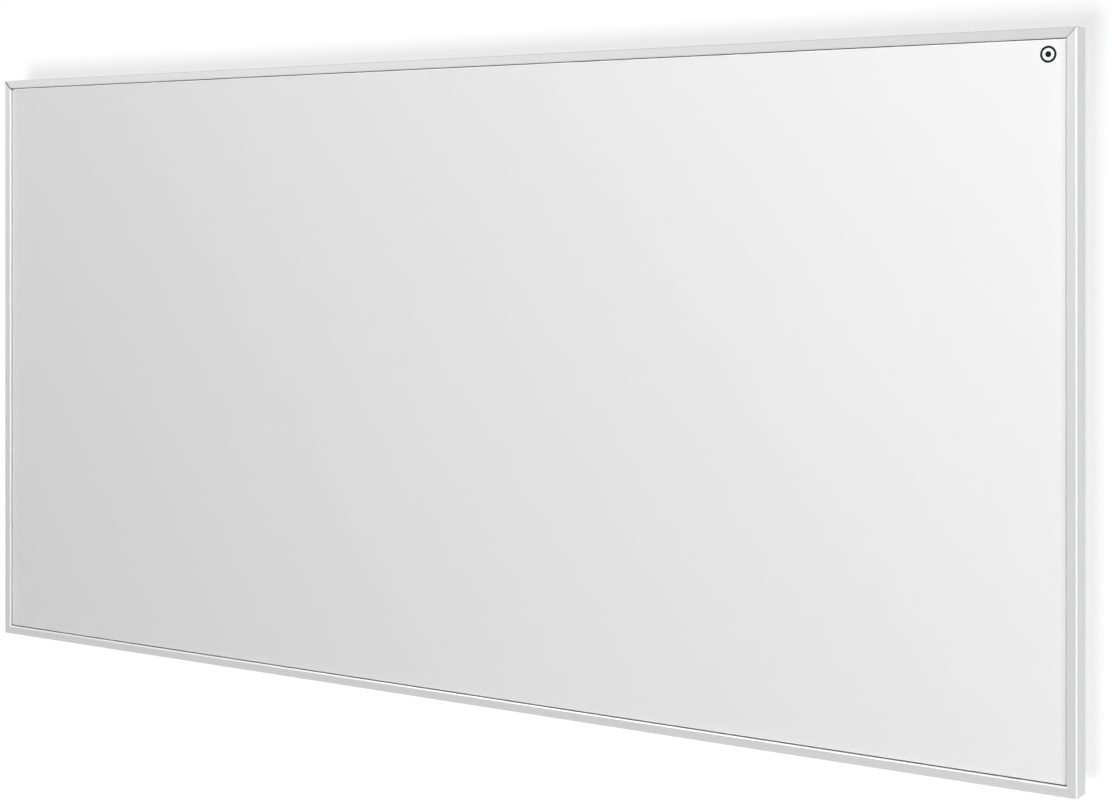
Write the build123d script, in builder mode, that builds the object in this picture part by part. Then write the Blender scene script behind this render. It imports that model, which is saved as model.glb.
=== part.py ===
from build123d import *
import os

os.makedirs("parts", exist_ok=True)

# An infrared panel heater that hangs on a wall, in millimetres. Seen from the front, X is
# to the right, Z is up and Y goes into the wall. The origin is on the wall, at the centre
# of the four fixings, which is also the centre of the panel.

# ---- Driving dimensions ------------------------------------------------------------------

# The panel as a whole
PANEL_WIDTH = 1200.0
PANEL_HEIGHT = 600.0
BOX_TO_WALL = 4.7  # from the lid of the connection box to the wall

# Frame: one aluminium extrusion, cut into four mitred bars
LIP_WIDTH = 8.5  # front lip, from the outer edge of the frame to its inner edge
LIP_EDGE_RADIUS = 1.0
LIP_INNER_RADIUS = 1.2
BAR_WALL = 1.6  # outer wall and front lip
BAR_WEB = 1.4  # return leg, ledge and rear flange
CHANNEL_WIDTH = 14.0  # outer edge to the free edge of the ledge and the rear flange
REAR_REBATE = 0.9  # how far the outer wall stands back beyond the rear flange
TOP_MITRE_GAP = 0.5
BOTTOM_MITRE_GAP = 0.04

# Corner keys in the channel of the bars, wedged by grub screws
KEY_LEG = 40.0
KEY_PLAY = 0.2
KEY_OPEN_SIDE_PLAY = 0.6
GRUB_SCREW_DIAMETER = 4.0
GRUB_SCREW_SINK = 0.7  # from the end of a grub screw to the inside of the rear flange
GRUB_SCREW_FROM_CORNER = 26.0
GRUB_SOCKET_FLATS = 2.0
GRUB_SOCKET_DEPTH = 2.4
THREAD_PLAY = 0.05  # radial, wherever a screw sits in its thread

# Front panel: a shallow steel tray with its rim folded back and then outwards
FACE_SHEET = 0.8
FACE_RECESS = 3.0  # from the front of the lip back to the face
FACE_GAP = 0.4  # shadow gap between the lip and the face
FACE_FOLD_DEPTH = 6.0  # from the front of the face to the back of its flange
FACE_FOLD_RADIUS = 1.0
FACE_CORNER_RADIUS = 1.2  # inside the corners of the tray
FLANGE_PLAY = 1.4  # room for the hot flange to grow towards the outer wall
SEAL_THICKNESS = 0.8
SEAL_WIDTH = 4.0

# Heating laminate and what lies behind it
BOARD_THICKNESS = 1.0
BOARD_PLAY = 0.5
BUSBAR_WIDTH = 12.0
BUSBAR_THICKNESS = 0.3
BUSBAR_INSET = 25.0  # from the edge of the laminate to the middle of the busbar
BUSBAR_END_INSET = 20.0
FOIL_THICKNESS = 0.2
FOIL_CLEARANCE = 6.0
MAT_PLAY = 0.5
MAT_OVER_CUTOUT = 1.4  # how far the mat stands above the blades of the cut-outs
JOINT_HOLE_RADIUS = 9.0  # in the mat, where a lead reaches a busbar

# Thermal cut-outs, disc type
CUTOUT_DIAMETER = 16.0
CUTOUT_CUP_DEPTH = 4.0
CUTOUT_BASE_DIAMETER = 15.0
CUTOUT_BASE_DEPTH = 4.5
CUTOUT_BLADE_WIDTH = 6.3
CUTOUT_BLADE_THICKNESS = 0.8
CUTOUT_BLADE_ROOT = 3.0  # from the middle of the cut-out to the start of a blade
CUTOUT_BLADE_END = 17.0
CUTOUT_LEAD_OFFSET = 13.0
CUTOUT_POCKET_RADIUS = 20.0
CUTOUT_FOIL_MARGIN = 3.0

# Back cover, its screws and its stiffening beads
COVER_SHEET = 0.6
COVER_PLAY = 0.5
COVER_SCREW_PITCH = 200.0
COVER_SCREW_END = 100.0  # from the corner of the panel to the first screw
COVER_SCREW_INSET = 8.0  # from the outer edge of the frame
COVER_SCREW_DIAMETER = 2.9
COVER_SCREW_HEAD_DIAMETER = 5.6
COVER_SCREW_HEAD_HEIGHT = 2.0
COVER_SCREW_HEAD_RADIUS = 1.0
COVER_SCREW_REACH = 5.0
SCREW_HOLE_PLAY = 0.25
CROSS_LENGTH = 2.8  # cross recess in the heads of the cover and lid screws
CROSS_WIDTH = 0.8
CROSS_DEPTH = 1.0
BEAD_COUNT = 5
BEAD_PITCH = 150.0
BEAD_WIDTH = 16.0
BEAD_HEIGHT = 1.5
BEAD_EDGE_RADIUS = 1.0
BEAD_TOP_INSET = 100.0
BEAD_CLEARANCE = 55.0  # from the top of the connection box to the beads

# Wall fixings: four turned studs, and the keyhole brackets that hang on them
FIXING_INSET_X = 150.0
FIXING_INSET_Z = 100.0
STUD_BASE_DIAMETER = 24.0
STUD_BASE_THICKNESS = 3.0
STUD_SHANK_DIAMETER = 14.0
STUD_NECK_DIAMETER = 9.0
STUD_HEAD_DIAMETER = 14.0
STUD_HEAD_THICKNESS = 3.0
STUD_HOLE_DIAMETER = 5.0
STUD_COUNTERSINK_DIAMETER = 9.0
STUD_EDGE = 0.5
RUNNING_GAP = 0.3  # between the studs and the brackets that slide on them
LIFT_TRAVEL = 13.0
KEYHOLE_ENTRY_PLAY = 1.0
BRACKET_SHEET = 1.5
BRACKET_RISE = 6.0  # clear space between the back cover and the keyhole plate
BRACKET_INNER_WIDTH = 32.0
BRACKET_FOOT = 14.0
BRACKET_ABOVE = 16.0
BRACKET_BELOW = 30.0
BRACKET_BEND_RADIUS = 1.2
BRACKET_RIVET_MARGIN = 7.0

# Blind rivets
RIVET_DIAMETER = 3.2
RIVET_PLAY = 0.05
RIVET_HEAD_DIAMETER = 6.4
RIVET_HEAD_HEIGHT = 1.1
RIVET_HEAD_RADIUS = 0.8
RIVET_TAIL_DIAMETER = 5.0
RIVET_TAIL_LENGTH = 1.0

# Connection box on the back cover
BOX_WIDTH = 124.0
BOX_HEIGHT = 76.0
BOX_DEPTH = 18.0
BOX_WALL = 2.0
BOX_FLOOR = 1.5
BOX_CORNER_RADIUS = 3.0  # inside the corners
BOX_EDGE_INSET = 27.0  # from the lower edge of the panel
BOX_FROM_FIXING = 150.0
BOX_SEAL_THICKNESS = 0.6
LID_THICKNESS = 2.0
LID_EDGE_RADIUS = 0.8
LID_BOSS_DIAMETER = 7.0
LID_BOSS_INSET = 5.0  # from the inside of the walls to the middle of a boss
LID_SCREW_DIAMETER = 3.0
LID_SCREW_HEAD_DIAMETER = 5.6
LID_SCREW_REACH = 9.0
BOX_RIVET_X = 50.0
BOX_RIVET_Z = 17.0

# Screw terminals in the box
TERMINAL_PITCH = 10.0
TERMINAL_COUNT = 3
TERMINAL_X = -30.0  # middle of the block, from the middle of the box
TERMINAL_Z = -2.0
TERMINAL_END_WALL = 6.0
TERMINAL_HEIGHT = 18.0
TERMINAL_DEPTH = 12.0
TERMINAL_AXIS = 6.0  # wire axis above the floor of the box
CLAMP_SIDE = 6.0
CLAMP_LENGTH = 14.0
CLAMP_BORE = 3.0
CLAMP_PLAY = 0.1
CLAMP_SCREW_DIAMETER = 3.0
CLAMP_SCREW_SPREAD = 8.0
CLAMP_SCREW_SINK = 1.0  # below the face of the block
CLAMP_SCREW_TIP_GAP = 0.15
CLAMP_SCREW_SLOT_WIDTH = 0.6
CLAMP_SCREW_SLOT_DEPTH = 0.8
LEAD_INSERTION = 6.0

# Cable gland through the underside of the box
GLAND_X = -30.0
GLAND_THREAD_DIAMETER = 12.0
GLAND_HOLE_PLAY = 0.15
GLAND_BORE = 7.2
GLAND_FLATS = 15.0
GLAND_HEX_HEIGHT = 4.0
GLAND_INNER_THREAD = 8.0
GLAND_OUTER_THREAD = 6.0
LOCKNUT_HEIGHT = 3.0
CABLE_BORE = 6.8
CABLE_SEAL_DIAMETER = 10.6
CABLE_SEAL_LENGTH = 6.0
GLAND_NUT_HEX = 7.0
GLAND_NUT_END = 1.6
GLAND_NUT_MOUTH = 7.6
GLAND_NUT_DIAMETER = 14.4
GLAND_NUT_DOME_RADIUS = 2.2
GLAND_NUT_GAP = 0.3

# Rocker switch beside the gland
SWITCH_X = 28.0
SWITCH_BEZEL_LENGTH = 24.0
SWITCH_BEZEL_WIDTH = 15.0
SWITCH_BEZEL_HEIGHT = 1.6
SWITCH_BEZEL_RADIUS = 0.8
SWITCH_BODY_LENGTH = 21.2
SWITCH_BODY_WIDTH = 12.6
SWITCH_BODY_DEPTH = 16.0
SWITCH_CUTOUT_PLAY = 0.2
SWITCH_POCKET_DEPTH = 10.0
SWITCH_BLADE_WIDTH = 4.8
SWITCH_BLADE_THICKNESS = 0.8
SWITCH_BLADE_LENGTH = 8.0
SWITCH_BLADE_SPREAD = 10.0
ROCKER_LENGTH = 16.0
ROCKER_WIDTH = 10.4
ROCKER_SIDE_PLAY = 0.3
ROCKER_END_PLAY = 1.2
ROCKER_PIVOT_DEPTH = 4.0  # behind the bezel's face
ROCKER_MIDDLE = 0.6  # how far the middle of the rocker stands out of the bezel
ROCKER_END = 1.6  # how far its ends would stand out if it were level
ROCKER_BACK = 1.5
ROCKER_EDGE_RADIUS = 0.4
ROCKER_PIN_DIAMETER = 2.4
ROCKER_PIN_PLAY = 0.05
ROCKER_PIN_REACH = 0.6  # into the wall of the housing
ROCKER_TILT = 9.0  # either side of level

# Grommet, earth point and internal leads
GROMMET_X = 30.0
GROMMET_Z = 21.0
GROMMET_BORE = 16.0
GROMMET_HOLE = 20.0
GROMMET_DIAMETER = 24.0
GROMMET_FLANGE = 1.0
GROMMET_PLAY = 0.1
EARTH_Z = -12.0
EARTH_STUD_DIAMETER = 4.0
EARTH_STUD_LENGTH = 9.0
EARTH_COLLAR_DIAMETER = 8.0
EARTH_COLLAR_STEP = 0.8
EARTH_HOLE_PLAY = 0.5
EARTH_NUT_FLATS = 7.0
EARTH_NUT_HEIGHT = 3.2
EARTH_TAG_THICKNESS = 0.8
EARTH_TAG_DIAMETER = 8.0
EARTH_TAG_TONGUE_WIDTH = 4.0
EARTH_TAG_REACH = 9.0
LEAD_DIAMETER = 2.2
LEAD_GAP = 0.2  # between a lead and what it lies on
LEAD_SPREAD = 6.0  # between the two leads in the grommet
LEAD_BEND = 3.0  # where a lead turns through the grommet
LEAD_WIDE_BEND = 5.0
LEAD_STRAIGHT_END = 0.3  # where a lead meets a blade of a cut-out square on
LIVE_RUN = 29.0  # heights of the runs in the box, from its middle
EARTH_RUN = 14.0
NEUTRAL_TURN = 3.2  # height above the floor where the neutral turns into the grommet
NEUTRAL_DROP = 31.0

# ---- Depths, stacked from the wall towards the front --------------------------------------

lid_back = -BOX_TO_WALL
lid_front = lid_back - LID_THICKNESS
box_rim = lid_front - BOX_SEAL_THICKNESS
cover_back = box_rim - BOX_DEPTH
cover_front = cover_back - COVER_SHEET
frame_back = cover_front + REAR_REBATE
rear_flange_front = cover_front - BAR_WEB
lead_depth = cover_front - GROMMET_FLANGE - LEAD_GAP - LEAD_DIAMETER / 2
mat_back = lead_depth - LEAD_DIAMETER / 2 - LEAD_GAP
cutout_blade_back = mat_back - MAT_OVER_CUTOUT
cutout_blade_front = cutout_blade_back - CUTOUT_BLADE_THICKNESS
cutout_base_front = cutout_blade_front - CUTOUT_BASE_DEPTH
board_back = cutout_base_front - CUTOUT_CUP_DEPTH
busbar_back = board_back + BUSBAR_THICKNESS
mat_front = board_back + max(BUSBAR_THICKNESS, FOIL_THICKNESS)
face_back = board_back - BOARD_THICKNESS
face_front = face_back - FACE_SHEET
frame_front = face_front - FACE_RECESS
flange_back = face_front + FACE_FOLD_DEPTH
flange_front = flange_back - FACE_SHEET
return_leg_end = flange_front - SEAL_THICKNESS
ledge_back = flange_back + BAR_WEB
plate_front = cover_back + BRACKET_RISE
plate_back = plate_front + BRACKET_SHEET
box_floor = cover_back + BOX_FLOOR
box_middle_depth = (box_floor + box_rim) / 2
terminal_depth = box_floor + TERMINAL_AXIS

# ---- Places, seen from the front ---------------------------------------------------------

face_width = PANEL_WIDTH - 2 * (LIP_WIDTH + FACE_GAP)
face_height = PANEL_HEIGHT - 2 * (LIP_WIDTH + FACE_GAP)
tray_width = face_width - 2 * FACE_SHEET
tray_height = face_height - 2 * FACE_SHEET
board_width = tray_width - 2 * BOARD_PLAY
board_height = tray_height - 2 * BOARD_PLAY
busbar_x = board_width / 2 - BUSBAR_INSET
fixing_x = PANEL_WIDTH / 2 - FIXING_INSET_X
fixing_z = PANEL_HEIGHT / 2 - FIXING_INSET_Z
box_x = fixing_x - BOX_FROM_FIXING
box_bottom = -PANEL_HEIGHT / 2 + BOX_EDGE_INSET
box_z = box_bottom + BOX_HEIGHT / 2
box_top = box_bottom + BOX_HEIGHT
box_inner_bottom = box_bottom + BOX_WALL
grommet_x = box_x + GROMMET_X
grommet_z = box_z + GROMMET_Z
neutral_x = grommet_x - LEAD_SPREAD / 2
switched_x = grommet_x + LEAD_SPREAD / 2
neutral_z = grommet_z - NEUTRAL_DROP
cutout_x = switched_x - CUTOUT_LEAD_OFFSET
gland_x = box_x + GLAND_X
switch_x = box_x + SWITCH_X
terminal_x = box_x + TERMINAL_X
terminal_z = box_z + TERMINAL_Z
earth_z = box_z + EARTH_Z

CORNERS = {
    "top_left": (-1, 1),
    "top_right": (1, 1),
    "bottom_left": (-1, -1),
    "bottom_right": (1, -1),
}
INTO_WALL = Vector(0, 1, 0)


def facing_front(depth):
    """Sketch plane at a depth: sketch x is X, sketch y is Z, and a negative extrude goes back."""
    return Plane.XZ.offset(-depth)


def evenly(span, pitch):
    """Places at one pitch, as many as fit the span, about its middle."""
    count = int(span // pitch) + 1
    return [(place - (count - 1) / 2) * pitch for place in range(count)]


def cover_screw_places():
    """Where the back cover is screwed to the frame, all round its edge."""
    edge_x = PANEL_WIDTH / 2 - COVER_SCREW_INSET
    edge_z = PANEL_HEIGHT / 2 - COVER_SCREW_INSET
    along_x = evenly(PANEL_WIDTH - 2 * COVER_SCREW_END, COVER_SCREW_PITCH)
    along_z = evenly(PANEL_HEIGHT - 2 * COVER_SCREW_END, COVER_SCREW_PITCH)
    rows = [(x, side * edge_z) for x in along_x for side in (-1, 1)]
    columns = [(side * edge_x, z) for z in along_z for side in (-1, 1)]
    return rows + columns


def bracket_rivet_places():
    """Two rivets in each foot of each keyhole bracket."""
    across = BRACKET_INNER_WIDTH / 2 + BRACKET_SHEET + BRACKET_FOOT / 2
    heights = (BRACKET_ABOVE - BRACKET_RIVET_MARGIN, BRACKET_RIVET_MARGIN - BRACKET_BELOW)
    return [
        (side_x * fixing_x + foot * across, side_z * fixing_z + height)
        for side_x, side_z in CORNERS.values()
        for foot in (-1, 1)
        for height in heights
    ]


def box_rivet_places():
    """Four rivets through the floor of the connection box."""
    return [
        (box_x + side_x * BOX_RIVET_X, box_z + side_z * BOX_RIVET_Z)
        for side_x, side_z in CORNERS.values()
    ]


def lid_screw_places():
    """Four screws in the corners of the connection box."""
    across = BOX_WIDTH / 2 - BOX_WALL - LID_BOSS_INSET
    up = BOX_HEIGHT / 2 - BOX_WALL - LID_BOSS_INSET
    return [(box_x + side_x * across, box_z + side_z * up) for side_x, side_z in CORNERS.values()]


# ---- Frame -------------------------------------------------------------------------------


def frame_bar(inward, length, half_span, end_gaps):
    """One mitred bar of the frame, where inward points from its outer edge to the panel."""
    along = inward.cross(INTO_WALL)
    outer_edge = inward * -half_span
    with BuildPart() as bar:
        with BuildSketch(Plane(outer_edge, x_dir=inward, z_dir=along)) as section:
            with BuildLine():
                Polyline(
                    (0, frame_front),
                    (LIP_WIDTH, frame_front),
                    (LIP_WIDTH, return_leg_end),
                    (LIP_WIDTH - BAR_WEB, return_leg_end),
                    (LIP_WIDTH - BAR_WEB, frame_front + BAR_WALL),
                    (BAR_WALL, frame_front + BAR_WALL),
                    (BAR_WALL, flange_back),
                    (CHANNEL_WIDTH, flange_back),
                    (CHANNEL_WIDTH, ledge_back),
                    (BAR_WALL, ledge_back),
                    (BAR_WALL, rear_flange_front),
                    (CHANNEL_WIDTH, rear_flange_front),
                    (CHANNEL_WIDTH, cover_front),
                    (BAR_WALL, cover_front),
                    (BAR_WALL, frame_back),
                    (0, frame_back),
                    close=True,
                )
            make_face()
            fillet(section.vertices().group_by(Axis.Y)[0].sort_by(Axis.X)[0], LIP_EDGE_RADIUS)
            fillet(section.vertices().group_by(Axis.Y)[0].sort_by(Axis.X)[-1], LIP_INNER_RADIUS)
        extrude(amount=length / 2, both=True)
        for end, gap in zip((1, -1), end_gaps):
            mitre = (along * end + inward).normalized()
            corner = outer_edge + along * (end * length / 2)
            split(bisect_by=Plane(corner - mitre * (gap / 2), z_dir=mitre), keep=Keep.BOTTOM)
        flange_line = outer_edge + inward * COVER_SCREW_INSET + INTO_WALL * cover_front
        with BuildSketch(Plane(flange_line, x_dir=along, z_dir=INTO_WALL)):
            screws = evenly(length - 2 * COVER_SCREW_END, COVER_SCREW_PITCH)
            with Locations(*[(place, 0) for place in screws]):
                Circle(COVER_SCREW_DIAMETER / 2 + THREAD_PLAY)
            grub = length / 2 - GRUB_SCREW_FROM_CORNER
            with Locations((-grub, 0), (grub, 0)):
                Circle(GRUB_SCREW_DIAMETER / 2 + SCREW_HOLE_PLAY)
        extrude(amount=-BAR_WEB, mode=Mode.SUBTRACT)
    return bar.part


BOTH_TOP = (TOP_MITRE_GAP, TOP_MITRE_GAP)
BOTH_BOTTOM = (BOTTOM_MITRE_GAP, BOTTOM_MITRE_GAP)
FRAME_BARS = {
    "top": (Vector(0, 0, -1), PANEL_WIDTH, PANEL_HEIGHT / 2, BOTH_TOP),
    "bottom": (Vector(0, 0, 1), PANEL_WIDTH, PANEL_HEIGHT / 2, BOTH_BOTTOM),
    "left": (Vector(1, 0, 0), PANEL_HEIGHT, PANEL_WIDTH / 2, (TOP_MITRE_GAP, BOTTOM_MITRE_GAP)),
    "right": (Vector(-1, 0, 0), PANEL_HEIGHT, PANEL_WIDTH / 2, (BOTTOM_MITRE_GAP, TOP_MITRE_GAP)),
}
for side, bar_facts in FRAME_BARS.items():
    frame_side = frame_bar(*bar_facts)
    frame_side.label = f"frame_{side}"
    export_step(frame_side, f"parts/frame_{side}.step")

# Corner keys: cast angles pushed into the channels of two bars
key_front = ledge_back + KEY_PLAY
key_depth = rear_flange_front - KEY_PLAY - key_front
key_outer = BAR_WALL + KEY_PLAY
key_inner = CHANNEL_WIDTH - KEY_OPEN_SIDE_PLAY
grub_screw_back = rear_flange_front - GRUB_SCREW_SINK


def grub_screw_places(side_x, side_z):
    """The two grub screws of one corner key, one in each leg."""
    near_x = PANEL_WIDTH / 2 - COVER_SCREW_INSET
    near_z = PANEL_HEIGHT / 2 - COVER_SCREW_INSET
    far_x = PANEL_WIDTH / 2 - GRUB_SCREW_FROM_CORNER
    far_z = PANEL_HEIGHT / 2 - GRUB_SCREW_FROM_CORNER
    return [(side_x * far_x, side_z * near_z), (side_x * near_x, side_z * far_z)]


for corner_name, (side_x, side_z) in CORNERS.items():
    with BuildPart() as corner_key:
        with BuildSketch(facing_front(key_front)):
            with BuildLine():
                outer_x = side_x * (PANEL_WIDTH / 2 - key_outer)
                outer_z = side_z * (PANEL_HEIGHT / 2 - key_outer)
                inner_x = side_x * (PANEL_WIDTH / 2 - key_inner)
                inner_z = side_z * (PANEL_HEIGHT / 2 - key_inner)
                leg_x = side_x * (PANEL_WIDTH / 2 - KEY_LEG)
                leg_z = side_z * (PANEL_HEIGHT / 2 - KEY_LEG)
                Polyline(
                    (outer_x, outer_z),
                    (leg_x, outer_z),
                    (leg_x, inner_z),
                    (inner_x, inner_z),
                    (inner_x, leg_z),
                    (outer_x, leg_z),
                    close=True,
                )
            make_face()
            with Locations(*grub_screw_places(side_x, side_z)):
                Circle(GRUB_SCREW_DIAMETER / 2 + THREAD_PLAY, mode=Mode.SUBTRACT)
        extrude(amount=-key_depth)
    corner_key.part.label = f"corner_key_{corner_name}"
    export_step(corner_key.part, f"parts/corner_key_{corner_name}.step")

with BuildPart() as corner_key_screws:
    all_grub_places = [
        place for side_x, side_z in CORNERS.values() for place in grub_screw_places(side_x, side_z)
    ]
    with BuildSketch(facing_front(ledge_back)):
        with Locations(*all_grub_places):
            Circle(GRUB_SCREW_DIAMETER / 2)
    extrude(amount=-(grub_screw_back - ledge_back))
    with BuildSketch(facing_front(grub_screw_back - GRUB_SOCKET_DEPTH)):
        with Locations(*all_grub_places):
            RegularPolygon(GRUB_SOCKET_FLATS / 2, 6, major_radius=False)
    extrude(amount=-GRUB_SOCKET_DEPTH, mode=Mode.SUBTRACT)
corner_key_screws.part.label = "corner_key_screws"
export_step(corner_key_screws.part, "parts/corner_key_screws.step")

# ---- Front panel, its seal and the heating laminate --------------------------------------

with BuildPart() as front_panel:
    with BuildSketch(facing_front(face_front)):
        RectangleRounded(face_width, face_height, FACE_CORNER_RADIUS + FACE_SHEET)
    extrude(amount=-FACE_FOLD_DEPTH)
    with BuildSketch(facing_front(face_back)):
        RectangleRounded(tray_width, tray_height, FACE_CORNER_RADIUS)
    extrude(amount=-FACE_FOLD_DEPTH, mode=Mode.SUBTRACT)
    with BuildSketch(facing_front(flange_front)):
        flange_inset = 2 * (BAR_WALL + FLANGE_PLAY)
        Rectangle(PANEL_WIDTH - flange_inset, PANEL_HEIGHT - flange_inset)
        RectangleRounded(tray_width, tray_height, FACE_CORNER_RADIUS, mode=Mode.SUBTRACT)
    extrude(amount=-FACE_SHEET)
    fillet(front_panel.faces().sort_by(Axis.Y)[0].edges(), FACE_FOLD_RADIUS)
front_panel.part.label = "front_panel"
export_step(front_panel.part, "parts/front_panel.step")

with BuildPart() as front_seal:
    with BuildSketch(facing_front(return_leg_end)):
        Rectangle(
            PANEL_WIDTH - 2 * (LIP_WIDTH - SEAL_WIDTH),
            PANEL_HEIGHT - 2 * (LIP_WIDTH - SEAL_WIDTH),
        )
        Rectangle(PANEL_WIDTH - 2 * LIP_WIDTH, PANEL_HEIGHT - 2 * LIP_WIDTH, mode=Mode.SUBTRACT)
    extrude(amount=-SEAL_THICKNESS)
front_seal.part.label = "front_seal"
export_step(front_seal.part, "parts/front_seal.step")

with BuildPart() as heating_board:
    with BuildSketch(facing_front(face_back)):
        Rectangle(board_width, board_height)
    extrude(amount=-BOARD_THICKNESS)
heating_board.part.label = "heating_board"
export_step(heating_board.part, "parts/heating_board.step")

for side, sign in (("left", -1), ("right", 1)):
    with BuildPart() as busbar:
        with BuildSketch(facing_front(board_back)):
            with Locations((sign * busbar_x, 0)):
                Rectangle(BUSBAR_WIDTH, board_height - 2 * BUSBAR_END_INSET)
        extrude(amount=-BUSBAR_THICKNESS)
    busbar.part.label = f"busbar_{side}"
    export_step(busbar.part, f"parts/busbar_{side}.step")

with BuildPart() as reflector_foil:
    with BuildSketch(facing_front(board_back)):
        foil_width = 2 * (busbar_x - BUSBAR_WIDTH / 2 - FOIL_CLEARANCE)
        Rectangle(foil_width, board_height - 2 * FOIL_CLEARANCE)
        with Locations((-cutout_x, 0), (cutout_x, 0)):
            Circle(CUTOUT_DIAMETER / 2 + CUTOUT_FOIL_MARGIN, mode=Mode.SUBTRACT)
    extrude(amount=-FOIL_THICKNESS)
reflector_foil.part.label = "reflector_foil"
export_step(reflector_foil.part, "parts/reflector_foil.step")

with BuildPart() as insulation_mat:
    with BuildSketch(facing_front(mat_front)):
        mat_inset = 2 * (CHANNEL_WIDTH + MAT_PLAY)
        Rectangle(PANEL_WIDTH - mat_inset, PANEL_HEIGHT - mat_inset)
        with Locations((-cutout_x, 0), (cutout_x, 0)):
            Circle(CUTOUT_POCKET_RADIUS, mode=Mode.SUBTRACT)
        with Locations((-busbar_x, 0), (busbar_x, neutral_z)):
            Circle(JOINT_HOLE_RADIUS, mode=Mode.SUBTRACT)
    extrude(amount=-(mat_back - mat_front))
insulation_mat.part.label = "insulation_mat"
export_step(insulation_mat.part, "parts/insulation_mat.step")

# ---- Thermal cut-outs: an aluminium cup on the laminate, a ceramic base and two blades ----

for side, sign in (("left", -1), ("right", 1)):
    with BuildPart() as cutout_cup:
        with BuildSketch(facing_front(board_back)):
            with Locations((sign * cutout_x, 0)):
                Circle(CUTOUT_DIAMETER / 2)
        extrude(amount=-CUTOUT_CUP_DEPTH)
    cutout_cup.part.label = f"cutout_{side}_cup"
    export_step(cutout_cup.part, f"parts/cutout_{side}_cup.step")

    with BuildPart() as cutout_base:
        with BuildSketch(facing_front(cutout_base_front)):
            with Locations((sign * cutout_x, 0)):
                Circle(CUTOUT_BASE_DIAMETER / 2)
        extrude(amount=-CUTOUT_BASE_DEPTH)
    cutout_base.part.label = f"cutout_{side}_base"
    export_step(cutout_base.part, f"parts/cutout_{side}_base.step")

    with BuildPart() as cutout_blades:
        blade_reach = CUTOUT_BLADE_END - CUTOUT_BLADE_ROOT
        blade_middle = (CUTOUT_BLADE_END + CUTOUT_BLADE_ROOT) / 2
        with BuildSketch(facing_front(cutout_blade_front)):
            with Locations(
                (sign * cutout_x - blade_middle, 0),
                (sign * cutout_x + blade_middle, 0),
            ):
                Rectangle(blade_reach, CUTOUT_BLADE_WIDTH)
        extrude(amount=-CUTOUT_BLADE_THICKNESS)
    cutout_blades.part.label = f"cutout_{side}_blades"
    export_step(cutout_blades.part, f"parts/cutout_{side}_blades.step")

# ---- Back cover --------------------------------------------------------------------------

with BuildPart() as back_cover:
    with BuildSketch(facing_front(cover_front)):
        cover_inset = 2 * (BAR_WALL + COVER_PLAY)
        Rectangle(PANEL_WIDTH - cover_inset, PANEL_HEIGHT - cover_inset)
    extrude(amount=-COVER_SHEET)
    bead_bottom = box_top + BEAD_CLEARANCE
    bead_top = PANEL_HEIGHT / 2 - BEAD_TOP_INSET
    bead_places = [
        ((place - (BEAD_COUNT - 1) / 2) * BEAD_PITCH, (bead_top + bead_bottom) / 2)
        for place in range(BEAD_COUNT)
    ]
    with BuildSketch(facing_front(cover_back)):
        with Locations(*bead_places):
            SlotOverall(bead_top - bead_bottom, BEAD_WIDTH, rotation=90)
    extrude(amount=-BEAD_HEIGHT)
    fillet(back_cover.faces().group_by(Axis.Y)[-1].edges(), BEAD_EDGE_RADIUS)
    with BuildSketch(facing_front(cover_front)):
        with Locations(*bead_places):
            SlotOverall(
                bead_top - bead_bottom - 2 * (COVER_SHEET + BEAD_EDGE_RADIUS),
                BEAD_WIDTH - 2 * (COVER_SHEET + BEAD_EDGE_RADIUS),
                rotation=90,
            )
    extrude(amount=-BEAD_HEIGHT, mode=Mode.SUBTRACT)
    with BuildSketch(facing_front(cover_front)):
        with Locations(*cover_screw_places()):
            Circle(COVER_SCREW_DIAMETER / 2 + SCREW_HOLE_PLAY)
        with Locations(*bracket_rivet_places(), *box_rivet_places()):
            Circle(RIVET_DIAMETER / 2 + RIVET_PLAY)
        with Locations((grommet_x, grommet_z)):
            Circle(GROMMET_HOLE / 2)
    extrude(amount=-COVER_SHEET, mode=Mode.SUBTRACT)
back_cover.part.label = "back_cover"
export_step(back_cover.part, "parts/back_cover.step")

with BuildPart() as cover_screws:
    with BuildSketch(facing_front(cover_back - COVER_SCREW_REACH)):
        with Locations(*cover_screw_places()):
            Circle(COVER_SCREW_DIAMETER / 2)
    extrude(amount=-COVER_SCREW_REACH)
    with BuildSketch(facing_front(cover_back)):
        with Locations(*cover_screw_places()):
            Circle(COVER_SCREW_HEAD_DIAMETER / 2)
    extrude(amount=-COVER_SCREW_HEAD_HEIGHT)
    fillet(cover_screws.edges().group_by(Axis.Y)[-1], COVER_SCREW_HEAD_RADIUS)
    with BuildSketch(facing_front(cover_back + COVER_SCREW_HEAD_HEIGHT - CROSS_DEPTH)):
        with Locations(*cover_screw_places()):
            Rectangle(CROSS_LENGTH, CROSS_WIDTH)
            Rectangle(CROSS_WIDTH, CROSS_LENGTH)
    extrude(amount=-CROSS_DEPTH, mode=Mode.SUBTRACT)
cover_screws.part.label = "cover_screws"
export_step(cover_screws.part, "parts/cover_screws.step")


def rivets(places, seat):
    """Blind rivets through the back cover, whose heads sit at the seat's depth."""
    with BuildPart() as group:
        with BuildSketch(facing_front(seat)):
            with Locations(*places):
                Circle(RIVET_HEAD_DIAMETER / 2)
        extrude(amount=-RIVET_HEAD_HEIGHT)
        fillet(group.edges().group_by(Axis.Y)[-1], RIVET_HEAD_RADIUS)
        with BuildSketch(facing_front(cover_front)):
            with Locations(*places):
                Circle(RIVET_DIAMETER / 2)
        extrude(amount=-(seat - cover_front))
        with BuildSketch(facing_front(cover_front)):
            with Locations(*places):
                Circle(RIVET_TAIL_DIAMETER / 2)
        extrude(amount=RIVET_TAIL_LENGTH)
    return group.part


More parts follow.
